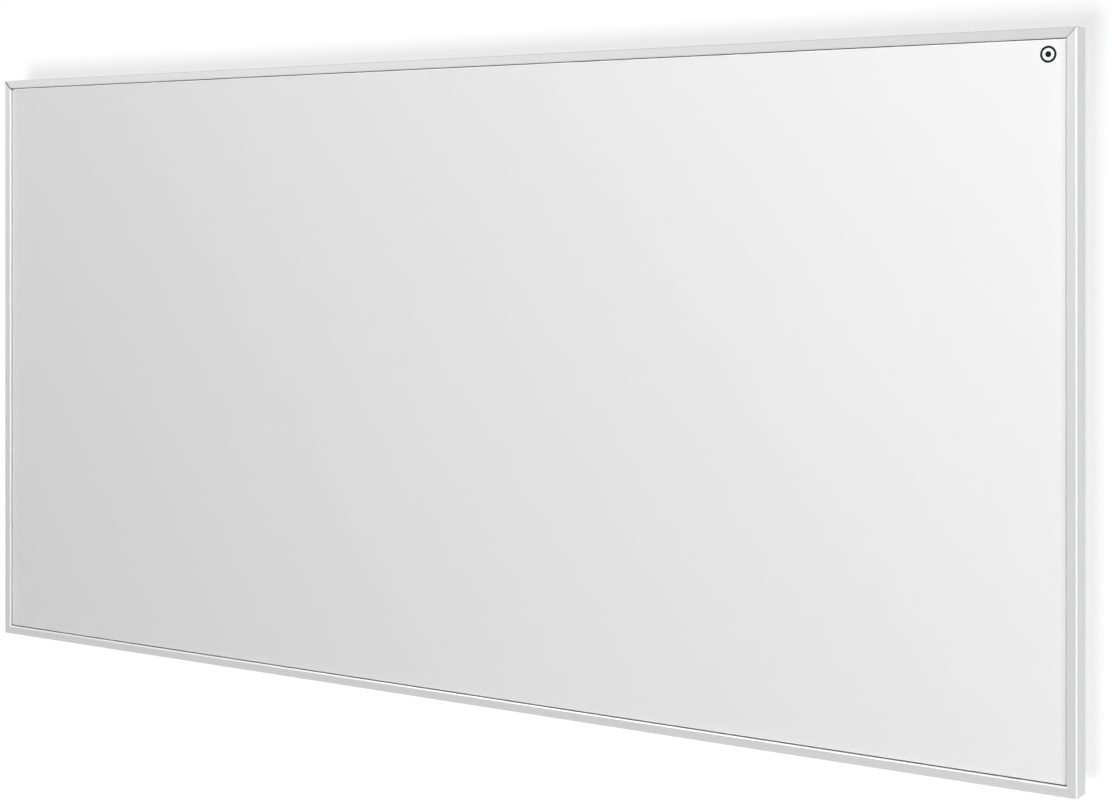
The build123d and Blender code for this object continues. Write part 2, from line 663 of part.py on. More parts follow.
# ---- Wall studs and keyhole brackets -----------------------------------------------------

stud_neck_back = plate_back + RUNNING_GAP
stud_neck_front = plate_front - RUNNING_GAP
stud_front = stud_neck_front - STUD_HEAD_THICKNESS
countersink_depth = (STUD_COUNTERSINK_DIAMETER - STUD_HOLE_DIAMETER) / 2

for corner_name, (side_x, side_z) in CORNERS.items():
    stud_axis = Plane((side_x * fixing_x, 0, side_z * fixing_z), x_dir=(1, 0, 0), z_dir=(0, 0, 1))
    with BuildPart() as wall_stud:
        with BuildSketch(stud_axis):
            with BuildLine():
                Polyline(
                    (STUD_HOLE_DIAMETER / 2, 0),
                    (STUD_BASE_DIAMETER / 2, 0),
                    (STUD_BASE_DIAMETER / 2, -STUD_BASE_THICKNESS + STUD_EDGE),
                    (STUD_BASE_DIAMETER / 2 - STUD_EDGE, -STUD_BASE_THICKNESS),
                    (STUD_SHANK_DIAMETER / 2, -STUD_BASE_THICKNESS),
                    (STUD_SHANK_DIAMETER / 2, stud_neck_back),
                    (STUD_NECK_DIAMETER / 2, stud_neck_back),
                    (STUD_NECK_DIAMETER / 2, stud_neck_front),
                    (STUD_HEAD_DIAMETER / 2, stud_neck_front),
                    (STUD_HEAD_DIAMETER / 2, stud_front + STUD_EDGE),
                    (STUD_HEAD_DIAMETER / 2 - STUD_EDGE, stud_front),
                    (STUD_COUNTERSINK_DIAMETER / 2, stud_front),
                    (STUD_HOLE_DIAMETER / 2, stud_front + countersink_depth),
                    close=True,
                )
            make_face()
        revolve(axis=Axis(stud_axis.origin, (0, 1, 0)))
    wall_stud.part.label = f"wall_stud_{corner_name}"
    export_step(wall_stud.part, f"parts/wall_stud_{corner_name}.step")

    with BuildPart() as hanger_bracket:
        bottom = side_z * fixing_z - BRACKET_BELOW
        with BuildSketch(Plane.XY.offset(bottom)) as hat:
            with Locations((side_x * fixing_x, (cover_back + plate_back) / 2)):
                Rectangle(BRACKET_INNER_WIDTH + 2 * BRACKET_SHEET, plate_back - cover_back)
            with Locations((side_x * fixing_x, cover_back + BRACKET_SHEET / 2)):
                foot_span = BRACKET_INNER_WIDTH + 2 * (BRACKET_SHEET + BRACKET_FOOT)
                Rectangle(foot_span, BRACKET_SHEET)
            with Locations((side_x * fixing_x, (cover_back + plate_front) / 2)):
                Rectangle(BRACKET_INNER_WIDTH, BRACKET_RISE, mode=Mode.SUBTRACT)
            fillet(hat.vertices().group_by(Axis.Y)[-1], BRACKET_BEND_RADIUS)
        extrude(amount=BRACKET_BELOW + BRACKET_ABOVE)
        with BuildSketch(facing_front(plate_front)):
            with Locations((side_x * fixing_x, side_z * fixing_z - LIFT_TRAVEL)):
                Circle(STUD_HEAD_DIAMETER / 2 + KEYHOLE_ENTRY_PLAY)
            with Locations((side_x * fixing_x, side_z * fixing_z - LIFT_TRAVEL / 2)):
                slot_width = STUD_NECK_DIAMETER + 2 * RUNNING_GAP
                SlotCenterToCenter(LIFT_TRAVEL, slot_width, rotation=90)
        extrude(amount=-BRACKET_SHEET, mode=Mode.SUBTRACT)
        with BuildSketch(facing_front(cover_back)):
            with Locations(*bracket_rivet_places()):
                Circle(RIVET_DIAMETER / 2 + RIVET_PLAY)
        extrude(amount=-BRACKET_SHEET, mode=Mode.SUBTRACT)
    hanger_bracket.part.label = f"hanger_bracket_{corner_name}"
    export_step(hanger_bracket.part, f"parts/hanger_bracket_{corner_name}.step")

hanger_rivets = rivets(bracket_rivet_places(), cover_back + BRACKET_SHEET)
hanger_rivets.label = "hanger_rivets"
export_step(hanger_rivets, "parts/hanger_rivets.step")

# ---- Connection box ----------------------------------------------------------------------

gland_plane = Plane((gland_x, box_middle_depth, box_bottom), x_dir=(1, 0, 0), z_dir=(0, 0, 1))
switch_plane = Plane((switch_x, box_middle_depth, box_bottom), x_dir=(1, 0, 0), z_dir=(0, 0, 1))

with BuildPart() as connection_box:
    with BuildSketch(facing_front(cover_back)):
        with Locations((box_x, box_z)):
            RectangleRounded(BOX_WIDTH, BOX_HEIGHT, BOX_CORNER_RADIUS + BOX_WALL)
    extrude(amount=-BOX_DEPTH)
    with BuildSketch(facing_front(box_floor)):
        with Locations((box_x, box_z)):
            RectangleRounded(BOX_WIDTH - 2 * BOX_WALL, BOX_HEIGHT - 2 * BOX_WALL, BOX_CORNER_RADIUS)
    extrude(amount=-BOX_DEPTH, mode=Mode.SUBTRACT)
    with BuildSketch(facing_front(box_floor)):
        with Locations(*lid_screw_places()):
            Circle(LID_BOSS_DIAMETER / 2)
    extrude(amount=-(box_rim - box_floor))
    with BuildSketch(facing_front(lid_back - LID_SCREW_REACH)):
        with Locations(*lid_screw_places()):
            Circle(LID_SCREW_DIAMETER / 2 + THREAD_PLAY)
    extrude(amount=-LID_SCREW_REACH, mode=Mode.SUBTRACT)
    with BuildSketch(facing_front(cover_back)):
        with Locations(*box_rivet_places()):
            Circle(RIVET_DIAMETER / 2 + RIVET_PLAY)
        with Locations((grommet_x, grommet_z)):
            Circle(GROMMET_HOLE / 2)
        with Locations((box_x, earth_z)):
            Circle(EARTH_COLLAR_DIAMETER / 2 + EARTH_HOLE_PLAY)
    extrude(amount=-BOX_FLOOR, mode=Mode.SUBTRACT)
    with BuildSketch(gland_plane):
        Circle(GLAND_THREAD_DIAMETER / 2 + GLAND_HOLE_PLAY)
    extrude(amount=BOX_WALL, mode=Mode.SUBTRACT)
    with BuildSketch(switch_plane):
        Rectangle(
            SWITCH_BODY_LENGTH + 2 * SWITCH_CUTOUT_PLAY,
            SWITCH_BODY_WIDTH + 2 * SWITCH_CUTOUT_PLAY,
        )
    extrude(amount=BOX_WALL, mode=Mode.SUBTRACT)
connection_box.part.label = "connection_box"
export_step(connection_box.part, "parts/connection_box.step")

box_rivets = rivets(box_rivet_places(), box_floor)
box_rivets.label = "box_rivets"
export_step(box_rivets, "parts/box_rivets.step")

with BuildPart() as box_seal:
    with BuildSketch(facing_front(box_rim)):
        with Locations((box_x, box_z)):
            RectangleRounded(BOX_WIDTH, BOX_HEIGHT, BOX_CORNER_RADIUS + BOX_WALL)
            RectangleRounded(
                BOX_WIDTH - 2 * BOX_WALL,
                BOX_HEIGHT - 2 * BOX_WALL,
                BOX_CORNER_RADIUS,
                mode=Mode.SUBTRACT,
            )
    extrude(amount=-BOX_SEAL_THICKNESS)
box_seal.part.label = "box_seal"
export_step(box_seal.part, "parts/box_seal.step")

with BuildPart() as box_lid:
    with BuildSketch(facing_front(lid_front)):
        with Locations((box_x, box_z)):
            RectangleRounded(BOX_WIDTH, BOX_HEIGHT, BOX_CORNER_RADIUS + BOX_WALL)
    extrude(amount=-LID_THICKNESS)
    fillet(box_lid.faces().sort_by(Axis.Y)[-1].edges(), LID_EDGE_RADIUS)
    with Locations(*[Plane((x, lid_back, z), z_dir=(0, 1, 0)) for x, z in lid_screw_places()]):
        CounterSinkHole(
            LID_SCREW_DIAMETER / 2 + SCREW_HOLE_PLAY,
            LID_SCREW_HEAD_DIAMETER / 2 + SCREW_HOLE_PLAY,
            depth=LID_THICKNESS,
        )
box_lid.part.label = "box_lid"
export_step(box_lid.part, "parts/box_lid.step")

with BuildPart() as lid_screws:
    with BuildSketch(facing_front(lid_back - LID_SCREW_REACH)):
        with Locations(*lid_screw_places()):
            Circle(LID_SCREW_DIAMETER / 2)
    extrude(amount=-LID_SCREW_REACH)
    with Locations(*[Plane((x, lid_back, z), z_dir=(0, 1, 0)) for x, z in lid_screw_places()]):
        Cone(
            LID_SCREW_DIAMETER / 2,
            LID_SCREW_HEAD_DIAMETER / 2,
            (LID_SCREW_HEAD_DIAMETER - LID_SCREW_DIAMETER) / 2,
            align=(Align.CENTER, Align.CENTER, Align.MAX),
        )
    with BuildSketch(facing_front(lid_back - CROSS_DEPTH)):
        with Locations(*lid_screw_places()):
            Rectangle(CROSS_LENGTH, CROSS_WIDTH)
            Rectangle(CROSS_WIDTH, CROSS_LENGTH)
    extrude(amount=-CROSS_DEPTH, mode=Mode.SUBTRACT)
lid_screws.part.label = "lid_screws"
export_step(lid_screws.part, "parts/lid_screws.step")

# ---- Screw terminals ---------------------------------------------------------------------

terminal_xs = [
    terminal_x + (place - (TERMINAL_COUNT - 1) / 2) * TERMINAL_PITCH
    for place in range(TERMINAL_COUNT)
]
live_x, neutral_terminal_x, earth_x = terminal_xs[0], terminal_xs[1], terminal_xs[-1]
clamp_screw_places = [
    (x, terminal_z + side * CLAMP_SCREW_SPREAD / 2) for x in terminal_xs for side in (-1, 1)
]
terminal_back = box_floor + TERMINAL_DEPTH
terminal_plane = Plane((0, terminal_depth, terminal_z), x_dir=(1, 0, 0), z_dir=(0, 0, 1))
screw_tip = terminal_depth + LEAD_DIAMETER / 2 + CLAMP_SCREW_TIP_GAP
screw_top = terminal_back - CLAMP_SCREW_SINK

with BuildPart() as terminal_block:
    with BuildSketch(facing_front(box_floor)):
        with Locations((terminal_x, terminal_z)):
            block_length = (TERMINAL_COUNT - 1) * TERMINAL_PITCH + 2 * TERMINAL_END_WALL
            Rectangle(block_length, TERMINAL_HEIGHT)
    extrude(amount=-TERMINAL_DEPTH)
    with BuildSketch(terminal_plane):
        with Locations(*[(x, 0) for x in terminal_xs]):
            Rectangle(CLAMP_SIDE + 2 * CLAMP_PLAY, CLAMP_SIDE + 2 * CLAMP_PLAY)
    extrude(amount=TERMINAL_HEIGHT / 2, both=True, mode=Mode.SUBTRACT)
    with BuildSketch(facing_front(terminal_depth)):
        with Locations(*clamp_screw_places):
            Circle(CLAMP_SCREW_DIAMETER / 2 + SCREW_HOLE_PLAY)
    extrude(amount=-(terminal_back - terminal_depth), mode=Mode.SUBTRACT)
terminal_block.part.label = "terminal_block"
export_step(terminal_block.part, "parts/terminal_block.step")

with BuildPart() as terminal_clamps:
    with BuildSketch(terminal_plane):
        with Locations(*[(x, 0) for x in terminal_xs]):
            Rectangle(CLAMP_SIDE, CLAMP_SIDE)
            Circle(CLAMP_BORE / 2, mode=Mode.SUBTRACT)
    extrude(amount=CLAMP_LENGTH / 2, both=True)
    with BuildSketch(facing_front(terminal_depth)):
        with Locations(*clamp_screw_places):
            Circle(CLAMP_SCREW_DIAMETER / 2 + THREAD_PLAY)
    extrude(amount=-CLAMP_SIDE / 2, mode=Mode.SUBTRACT)
terminal_clamps.part.label = "terminal_clamps"
export_step(terminal_clamps.part, "parts/terminal_clamps.step")

with BuildPart() as terminal_screws:
    with BuildSketch(facing_front(screw_tip)):
        with Locations(*clamp_screw_places):
            Circle(CLAMP_SCREW_DIAMETER / 2)
    extrude(amount=-(screw_top - screw_tip))
    with BuildSketch(facing_front(screw_top - CLAMP_SCREW_SLOT_DEPTH)):
        with Locations(*clamp_screw_places):
            Rectangle(CLAMP_SCREW_DIAMETER, CLAMP_SCREW_SLOT_WIDTH)
    extrude(amount=-CLAMP_SCREW_SLOT_DEPTH, mode=Mode.SUBTRACT)
terminal_screws.part.label = "terminal_screws"
export_step(terminal_screws.part, "parts/terminal_screws.step")

# ---- Cable gland -------------------------------------------------------------------------

gland_seal_top = -(GLAND_HEX_HEIGHT + GLAND_OUTER_THREAD)
gland_nut_top = -(GLAND_HEX_HEIGHT + GLAND_NUT_GAP)
gland_seat = gland_seal_top - CABLE_SEAL_LENGTH
gland_end = gland_seat - GLAND_NUT_END

with BuildPart() as gland_body:
    with BuildSketch(gland_plane):
        Circle(GLAND_THREAD_DIAMETER / 2)
    extrude(amount=GLAND_INNER_THREAD)
    with BuildSketch(gland_plane.offset(gland_seal_top)):
        Circle(GLAND_THREAD_DIAMETER / 2)
    extrude(amount=-gland_seal_top)
    with BuildSketch(gland_plane.offset(-GLAND_HEX_HEIGHT)):
        RegularPolygon(GLAND_FLATS / 2, 6, major_radius=False)
    extrude(amount=GLAND_HEX_HEIGHT)
    with BuildSketch(gland_plane.offset(gland_seal_top)):
        Circle(GLAND_BORE / 2)
    extrude(amount=GLAND_INNER_THREAD - gland_seal_top, mode=Mode.SUBTRACT)
gland_body.part.label = "gland_body"
export_step(gland_body.part, "parts/gland_body.step")

with BuildPart() as gland_locknut:
    with BuildSketch(gland_plane.offset(BOX_WALL)):
        RegularPolygon(GLAND_FLATS / 2, 6, major_radius=False)
        Circle(GLAND_THREAD_DIAMETER / 2 + THREAD_PLAY, mode=Mode.SUBTRACT)
    extrude(amount=LOCKNUT_HEIGHT)
gland_locknut.part.label = "gland_locknut"
export_step(gland_locknut.part, "parts/gland_locknut.step")

with BuildPart() as gland_seal:
    with BuildSketch(gland_plane.offset(gland_seat)):
        Circle(CABLE_SEAL_DIAMETER / 2)
        Circle(CABLE_BORE / 2, mode=Mode.SUBTRACT)
    extrude(amount=CABLE_SEAL_LENGTH)
gland_seal.part.label = "gland_seal"
export_step(gland_seal.part, "parts/gland_seal.step")

with BuildPart() as gland_nut:
    with BuildSketch(gland_plane.offset(gland_nut_top - GLAND_NUT_HEX)):
        RegularPolygon(GLAND_FLATS / 2, 6, major_radius=False)
    extrude(amount=GLAND_NUT_HEX)
    with BuildSketch(gland_plane.offset(gland_end)):
        Circle(GLAND_NUT_DIAMETER / 2)
    extrude(amount=gland_nut_top - gland_end)
    fillet(gland_nut.edges().group_by(Axis.Z)[0], GLAND_NUT_DOME_RADIUS)
    with BuildSketch(gland_plane.offset(gland_seal_top)):
        Circle(GLAND_THREAD_DIAMETER / 2 + THREAD_PLAY)
    extrude(amount=gland_nut_top - gland_seal_top, mode=Mode.SUBTRACT)
    with BuildSketch(gland_plane.offset(gland_seat)):
        Circle(CABLE_SEAL_DIAMETER / 2 + THREAD_PLAY)
    extrude(amount=CABLE_SEAL_LENGTH, mode=Mode.SUBTRACT)
    with BuildSketch(gland_plane.offset(gland_end)):
        Circle(GLAND_NUT_MOUTH / 2)
    extrude(amount=GLAND_NUT_END, mode=Mode.SUBTRACT)
gland_nut.part.label = "gland_nut"
export_step(gland_nut.part, "parts/gland_nut.step")

# ---- Rocker switch -----------------------------------------------------------------------

bezel_face = box_bottom - SWITCH_BEZEL_HEIGHT
pivot_z = bezel_face + ROCKER_PIVOT_DEPTH
pivot = Vector(switch_x, box_middle_depth, pivot_z)
window_width = ROCKER_WIDTH + 2 * ROCKER_SIDE_PLAY
pin_reach = ROCKER_SIDE_PLAY + ROCKER_PIN_REACH
blade_xs = (switch_x - SWITCH_BLADE_SPREAD / 2, switch_x + SWITCH_BLADE_SPREAD / 2)
across_pivot = Plane(pivot, x_dir=(1, 0, 0), z_dir=(0, -1, 0))

with BuildPart() as switch_housing:
    with BuildSketch(switch_plane):
        Rectangle(SWITCH_BODY_LENGTH, SWITCH_BODY_WIDTH)
    extrude(amount=SWITCH_BODY_DEPTH)
    with BuildSketch(switch_plane.offset(-SWITCH_BEZEL_HEIGHT)):
        RectangleRounded(SWITCH_BEZEL_LENGTH, SWITCH_BEZEL_WIDTH, SWITCH_BEZEL_RADIUS)
    extrude(amount=SWITCH_BEZEL_HEIGHT)
    with BuildSketch(switch_plane.offset(-SWITCH_BEZEL_HEIGHT)):
        Rectangle(ROCKER_LENGTH + 2 * ROCKER_END_PLAY, window_width)
    extrude(amount=SWITCH_POCKET_DEPTH, mode=Mode.SUBTRACT)
    with BuildSketch(across_pivot):
        Circle(ROCKER_PIN_DIAMETER / 2 + ROCKER_PIN_PLAY)
    extrude(amount=SWITCH_BODY_WIDTH / 2, both=True, mode=Mode.SUBTRACT)
switch_housing.part.label = "switch_housing"
export_step(switch_housing.part, "parts/switch_housing.step")

with BuildPart() as switch_blades:
    with BuildSketch(switch_plane.offset(SWITCH_BODY_DEPTH)):
        with Locations((-SWITCH_BLADE_SPREAD / 2, 0), (SWITCH_BLADE_SPREAD / 2, 0)):
            Rectangle(SWITCH_BLADE_THICKNESS, SWITCH_BLADE_WIDTH)
    extrude(amount=SWITCH_BLADE_LENGTH)
switch_blades.part.label = "switch_blades"
export_step(switch_blades.part, "parts/switch_blades.step")

# The rocker is drawn level about its pivot, then tipped to its off position.
with BuildPart() as level_rocker:
    with BuildSketch(across_pivot):
        with BuildLine():
            Polyline(
                (0, -ROCKER_PIVOT_DEPTH - ROCKER_MIDDLE),
                (ROCKER_LENGTH / 2, -ROCKER_PIVOT_DEPTH - ROCKER_END),
                (ROCKER_LENGTH / 2, ROCKER_BACK),
                (-ROCKER_LENGTH / 2, ROCKER_BACK),
                (-ROCKER_LENGTH / 2, -ROCKER_PIVOT_DEPTH - ROCKER_END),
                close=True,
            )
        make_face()
    extrude(amount=ROCKER_WIDTH / 2, both=True)
    fillet(level_rocker.edges().filter_by(Axis.Y).group_by(Axis.Z)[0], ROCKER_EDGE_RADIUS)
    with BuildSketch(across_pivot):
        Circle(ROCKER_PIN_DIAMETER / 2)
    extrude(amount=ROCKER_WIDTH / 2 + pin_reach, both=True)
switch_rocker = level_rocker.part.rotate(Axis(pivot, (0, 1, 0)), -ROCKER_TILT)
switch_rocker.label = "switch_rocker"
export_step(switch_rocker, "parts/switch_rocker.step")

# ---- Grommet and earth point -------------------------------------------------------------

with BuildPart() as wire_grommet:
    with BuildSketch(facing_front(cover_front - GROMMET_FLANGE)):
        with Locations((grommet_x, grommet_z)):
            Circle(GROMMET_DIAMETER / 2)
    extrude(amount=-GROMMET_FLANGE)
    with BuildSketch(facing_front(cover_front)):
        with Locations((grommet_x, grommet_z)):
            Circle(GROMMET_HOLE / 2 - GROMMET_PLAY)
    extrude(amount=-(box_floor - cover_front))
    with BuildSketch(facing_front(box_floor)):
        with Locations((grommet_x, grommet_z)):
            Circle(GROMMET_DIAMETER / 2)
    extrude(amount=-GROMMET_FLANGE)
    with BuildSketch(facing_front(cover_front - GROMMET_FLANGE)):
        with Locations((grommet_x, grommet_z)):
            Circle(GROMMET_BORE / 2)
    extrude(amount=-(box_floor - cover_front + 2 * GROMMET_FLANGE), mode=Mode.SUBTRACT)
wire_grommet.part.label = "wire_grommet"
export_step(wire_grommet.part, "parts/wire_grommet.step")

earth_seat = box_floor + EARTH_COLLAR_STEP
earth_tag_back = earth_seat + EARTH_TAG_THICKNESS

with BuildPart() as earth_stud:
    with BuildSketch(facing_front(cover_back)):
        with Locations((box_x, earth_z)):
            Circle(EARTH_COLLAR_DIAMETER / 2)
    extrude(amount=-(earth_seat - cover_back))
    with BuildSketch(facing_front(earth_seat)):
        with Locations((box_x, earth_z)):
            Circle(EARTH_STUD_DIAMETER / 2)
    extrude(amount=-EARTH_STUD_LENGTH)
earth_stud.part.label = "earth_stud"
export_step(earth_stud.part, "parts/earth_stud.step")

with BuildPart() as earth_ring_tag:
    with BuildSketch(facing_front(earth_seat)):
        with Locations((box_x, earth_z)):
            Circle(EARTH_TAG_DIAMETER / 2)
        with Locations((box_x, earth_z + EARTH_TAG_REACH / 2)):
            Rectangle(EARTH_TAG_TONGUE_WIDTH, EARTH_TAG_REACH)
        with Locations((box_x, earth_z)):
            Circle(EARTH_STUD_DIAMETER / 2 + THREAD_PLAY, mode=Mode.SUBTRACT)
    extrude(amount=-EARTH_TAG_THICKNESS)
earth_ring_tag.part.label = "earth_ring_tag"
export_step(earth_ring_tag.part, "parts/earth_ring_tag.step")

with BuildPart() as earth_nut:
    with BuildSketch(facing_front(earth_tag_back)):
        with Locations((box_x, earth_z)):
            RegularPolygon(EARTH_NUT_FLATS / 2, 6, major_radius=False)
            Circle(EARTH_STUD_DIAMETER / 2 + THREAD_PLAY, mode=Mode.SUBTRACT)
    extrude(amount=-EARTH_NUT_HEIGHT)
earth_nut.part.label = "earth_nut"
export_step(earth_nut.part, "parts/earth_nut.step")

# ---- Internal leads ----------------------------------------------------------------------


def lead(points, radii):
    """One insulated lead along straight runs joined by arcs."""
    with BuildPart() as wire:
        with BuildLine() as route:
            FilletPolyline(*points, radius=radii)
        start = route.line @ 0
        with BuildSketch(Plane(start, z_dir=route.line % 0)):
            Circle(LEAD_DIAMETER / 2)
        sweep(path=route.wires()[0])
    return wire.part


terminal_mouth = terminal_z + CLAMP_LENGTH / 2 - LEAD_INSERTION
blade_tip = box_bottom + SWITCH_BODY_DEPTH + SWITCH_BLADE_LENGTH
live_z = box_z + LIVE_RUN
earth_run_z = box_z + EARTH_RUN
neutral_turn = box_floor + NEUTRAL_TURN
earth_lead_depth = earth_seat + EARTH_TAG_THICKNESS / 2 + LEAD_GAP
blade_bend = lead_depth - cutout_blade_back - LEAD_STRAIGHT_END
busbar_bend = (lead_depth - busbar_back) / 2
inner_blade_x = cutout_x - CUTOUT_LEAD_OFFSET

LEADS = {
    "live_lead": (
        [
            (live_x, terminal_depth, terminal_mouth),
            (live_x, terminal_depth, live_z),
            (blade_xs[0], box_middle_depth, live_z),
            (blade_xs[0], box_middle_depth, blade_tip),
        ],
        [LEAD_WIDE_BEND, LEAD_WIDE_BEND],
    ),
    "switched_lead": (
        [
            (blade_xs[1], box_middle_depth, blade_tip),
            (switched_x, box_middle_depth, grommet_z),
            (switched_x, lead_depth, grommet_z),
            (switched_x, lead_depth, 0),
            (switched_x, cutout_blade_back, 0),
        ],
        [LEAD_WIDE_BEND, LEAD_BEND, blade_bend],
    ),
    "link_lead": (
        [
            (inner_blade_x, cutout_blade_back, 0),
            (inner_blade_x, lead_depth, 0),
            (-inner_blade_x, lead_depth, 0),
            (-inner_blade_x, cutout_blade_back, 0),
        ],
        [blade_bend, blade_bend],
    ),
    "busbar_lead": (
        [
            (-switched_x, cutout_blade_back, 0),
            (-switched_x, lead_depth, 0),
            (-busbar_x, lead_depth, 0),
            (-busbar_x, busbar_back, 0),
        ],
        [blade_bend, busbar_bend],
    ),
    "neutral_lead": (
        [
            (neutral_terminal_x, terminal_depth, terminal_mouth),
            (neutral_terminal_x, terminal_depth, grommet_z),
            (neutral_x, neutral_turn, grommet_z),
            (neutral_x, lead_depth, grommet_z),
            (neutral_x, lead_depth, neutral_z),
            (busbar_x, lead_depth, neutral_z),
            (busbar_x, busbar_back, neutral_z),
        ],
        [LEAD_WIDE_BEND, LEAD_BEND, LEAD_BEND, LEAD_WIDE_BEND, busbar_bend],
    ),
    "earth_lead": (
        [
            (earth_x, terminal_depth, terminal_mouth),
            (earth_x, terminal_depth, earth_run_z),
            (box_x, earth_lead_depth, earth_run_z),
            (box_x, earth_lead_depth, earth_z + EARTH_TAG_REACH),
        ],
        [LEAD_WIDE_BEND, LEAD_WIDE_BEND],
    ),
}
for lead_name, (points, radii) in LEADS.items():
    run = lead(points, radii)
    run.label = lead_name
    export_step(run, f"parts/{lead_name}.step")
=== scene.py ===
from math import cos, pi, radians, sin

import bmesh
import bpy
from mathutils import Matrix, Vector
from mathutils.bvhtree import BVHTree


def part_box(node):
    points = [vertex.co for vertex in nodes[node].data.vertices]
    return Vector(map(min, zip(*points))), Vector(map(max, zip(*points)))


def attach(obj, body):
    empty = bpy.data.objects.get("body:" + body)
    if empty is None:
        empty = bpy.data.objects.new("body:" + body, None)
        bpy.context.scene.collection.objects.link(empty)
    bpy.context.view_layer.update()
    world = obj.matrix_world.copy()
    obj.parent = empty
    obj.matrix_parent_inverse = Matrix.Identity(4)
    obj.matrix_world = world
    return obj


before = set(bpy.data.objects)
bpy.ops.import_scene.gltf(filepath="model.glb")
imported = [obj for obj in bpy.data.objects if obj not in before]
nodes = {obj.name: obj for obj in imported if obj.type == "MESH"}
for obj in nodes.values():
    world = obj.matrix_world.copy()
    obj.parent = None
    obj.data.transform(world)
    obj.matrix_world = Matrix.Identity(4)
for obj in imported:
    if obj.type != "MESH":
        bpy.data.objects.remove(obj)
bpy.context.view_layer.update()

# ---- Camera ------------------------------------------------------------------------------
# The heater is seen from its right, from a little above its middle, with the camera level.
# The lens is shifted down rather than tilted, so that the sides of the frame stay upright.

camera_data = bpy.data.cameras.new("camera")
camera = bpy.data.objects.new("camera", camera_data)
bpy.context.scene.collection.objects.link(camera)
camera.location = (1.1594, -1.6337, 0.1517)
view_direction = Vector((-0.5486, 0.8361, 0.0))
camera.rotation_euler = view_direction.to_track_quat("-Z", "Y").to_euler()
camera_data.lens = 68.26
camera_data.sensor_width = 36.0
camera_data.shift_y = -0.1642
bpy.context.scene.camera = camera
bpy.context.scene.view_settings.view_transform = "Standard"

# ---- Wall and floor ----------------------------------------------------------------------
# A smooth white wall behind the heater and a pale floor well below it. They are the room,
# not the heater. Each is clear from behind, so that the back and underside stay in view.


class Signal:
    """A value inside a finish. Arithmetic and comparison on it add Math nodes."""

    def __init__(self, finish, socket):
        self.finish = finish
        self.socket = socket

    def maths(self, operation, *values):
        sockets = dict(enumerate(values))
        return self.finish.node("ShaderNodeMath", {"operation": operation}, sockets)

    def __add__(self, other):
        return self.maths("ADD", self, other)

    def __radd__(self, other):
        return self.maths("ADD", other, self)

    def __sub__(self, other):
        return self.maths("SUBTRACT", self, other)

    def __rsub__(self, other):
        return self.maths("SUBTRACT", other, self)

    def __mul__(self, other):
        return self.maths("MULTIPLY", self, other)

    def __rmul__(self, other):
        return self.maths("MULTIPLY", other, self)

    def __truediv__(self, other):
        return self.maths("DIVIDE", self, other)

    def __rtruediv__(self, other):
        return self.maths("DIVIDE", other, self)

    def __pow__(self, other):
        return self.maths("POWER", self, other)

    def __lt__(self, other):
        return self.maths("LESS_THAN", self, other)

    def __gt__(self, other):
        return self.maths("GREATER_THAN", self, other)

    def __abs__(self):
        return self.maths("ABSOLUTE", self)

    def sine(self):
        return self.maths("SINE", self)


class Finish:
    """The finish of one kind of piece: a material, made node by node."""

    def __init__(self, name, tree=None):
        if tree is None:
            self.material = bpy.data.materials.new(name)
            self.material.use_nodes = True
            tree = self.material.node_tree
        self.tree = tree
        self.tree.nodes.clear()

    def node(self, kind, settings=None, sockets=None, output=0):
        """Adds one node: its settings first, then its sockets. Gives back one output."""
        made = self.tree.nodes.new(kind)
        for setting, choice in (settings or {}).items():
            if setting == "stops":
                while len(made.color_ramp.elements) < len(choice):
                    made.color_ramp.elements.new(1.0)
                for stop, (position, colour) in zip(made.color_ramp.elements, choice):
                    stop.position = position
                    stop.color = (*colour, 1.0)
            else:
                setattr(made, setting, choice)
        for socket, value in (sockets or {}).items():
            if isinstance(value, Signal):
                self.tree.links.new(value.socket, made.inputs[socket])
            else:
                made.inputs[socket].default_value = value
        return Signal(self, made.outputs[output]) if len(made.outputs) else None

    def place(self):
        """Where a point lies on the object, in metres."""
        return self.node("ShaderNodeTexCoord", output="Object")

    def along(self, axis):
        return self.node("ShaderNodeSeparateXYZ", None, {0: self.place()}, axis)

    def grain(self, sizes, detail=2.0):
        """Soft random mottling. Its marks have these sizes along X, Y and Z, in metres."""
        finer = tuple(1 / size for size in sizes)
        spread = self.node(
            "ShaderNodeVectorMath", {"operation": "MULTIPLY"}, {0: self.place(), 1: finer}
        )
        return self.node(
            "ShaderNodeTexNoise", None, {"Vector": spread, "Scale": 1.0, "Detail": detail}
        )

    def between(self, mask, low, high):
        """A colour that goes from low to high as the mask goes from 0 to 1."""
        low = low if isinstance(low, Signal) else (*low, 1.0)
        high = high if isinstance(high, Signal) else (*high, 1.0)
        return self.node("ShaderNodeMix", {"data_type": "RGBA"}, {0: mask, 6: low, 7: high}, 2)

    def relief(self, height, depth, strength=0.5):
        """Small hills and hollows, up to one depth in metres."""
        return self.node(
            "ShaderNodeBump", None, {"Strength": strength, "Distance": depth, "Height": height}
        )

    def coat(self, sockets, *names):
        """Ends the finish in one shader and puts it on these nodes."""
        shader = self.node("ShaderNodeBsdfPrincipled", None, sockets)
        self.node("ShaderNodeOutputMaterial", None, {"Surface": shader})
        for name in names:
            for slot in nodes[name].material_slots:
                slot.material = self.material
        return self.material


def room_plane(name, corners, material):
    """One flat piece of the room."""
    mesh = bpy.data.meshes.new(name)
    mesh.from_pydata(corners, [], [(0, 1, 2, 3)])
    mesh.materials.append(material)
    plane = bpy.data.objects.new(name, mesh)
    bpy.context.scene.collection.objects.link(plane)
    return plane


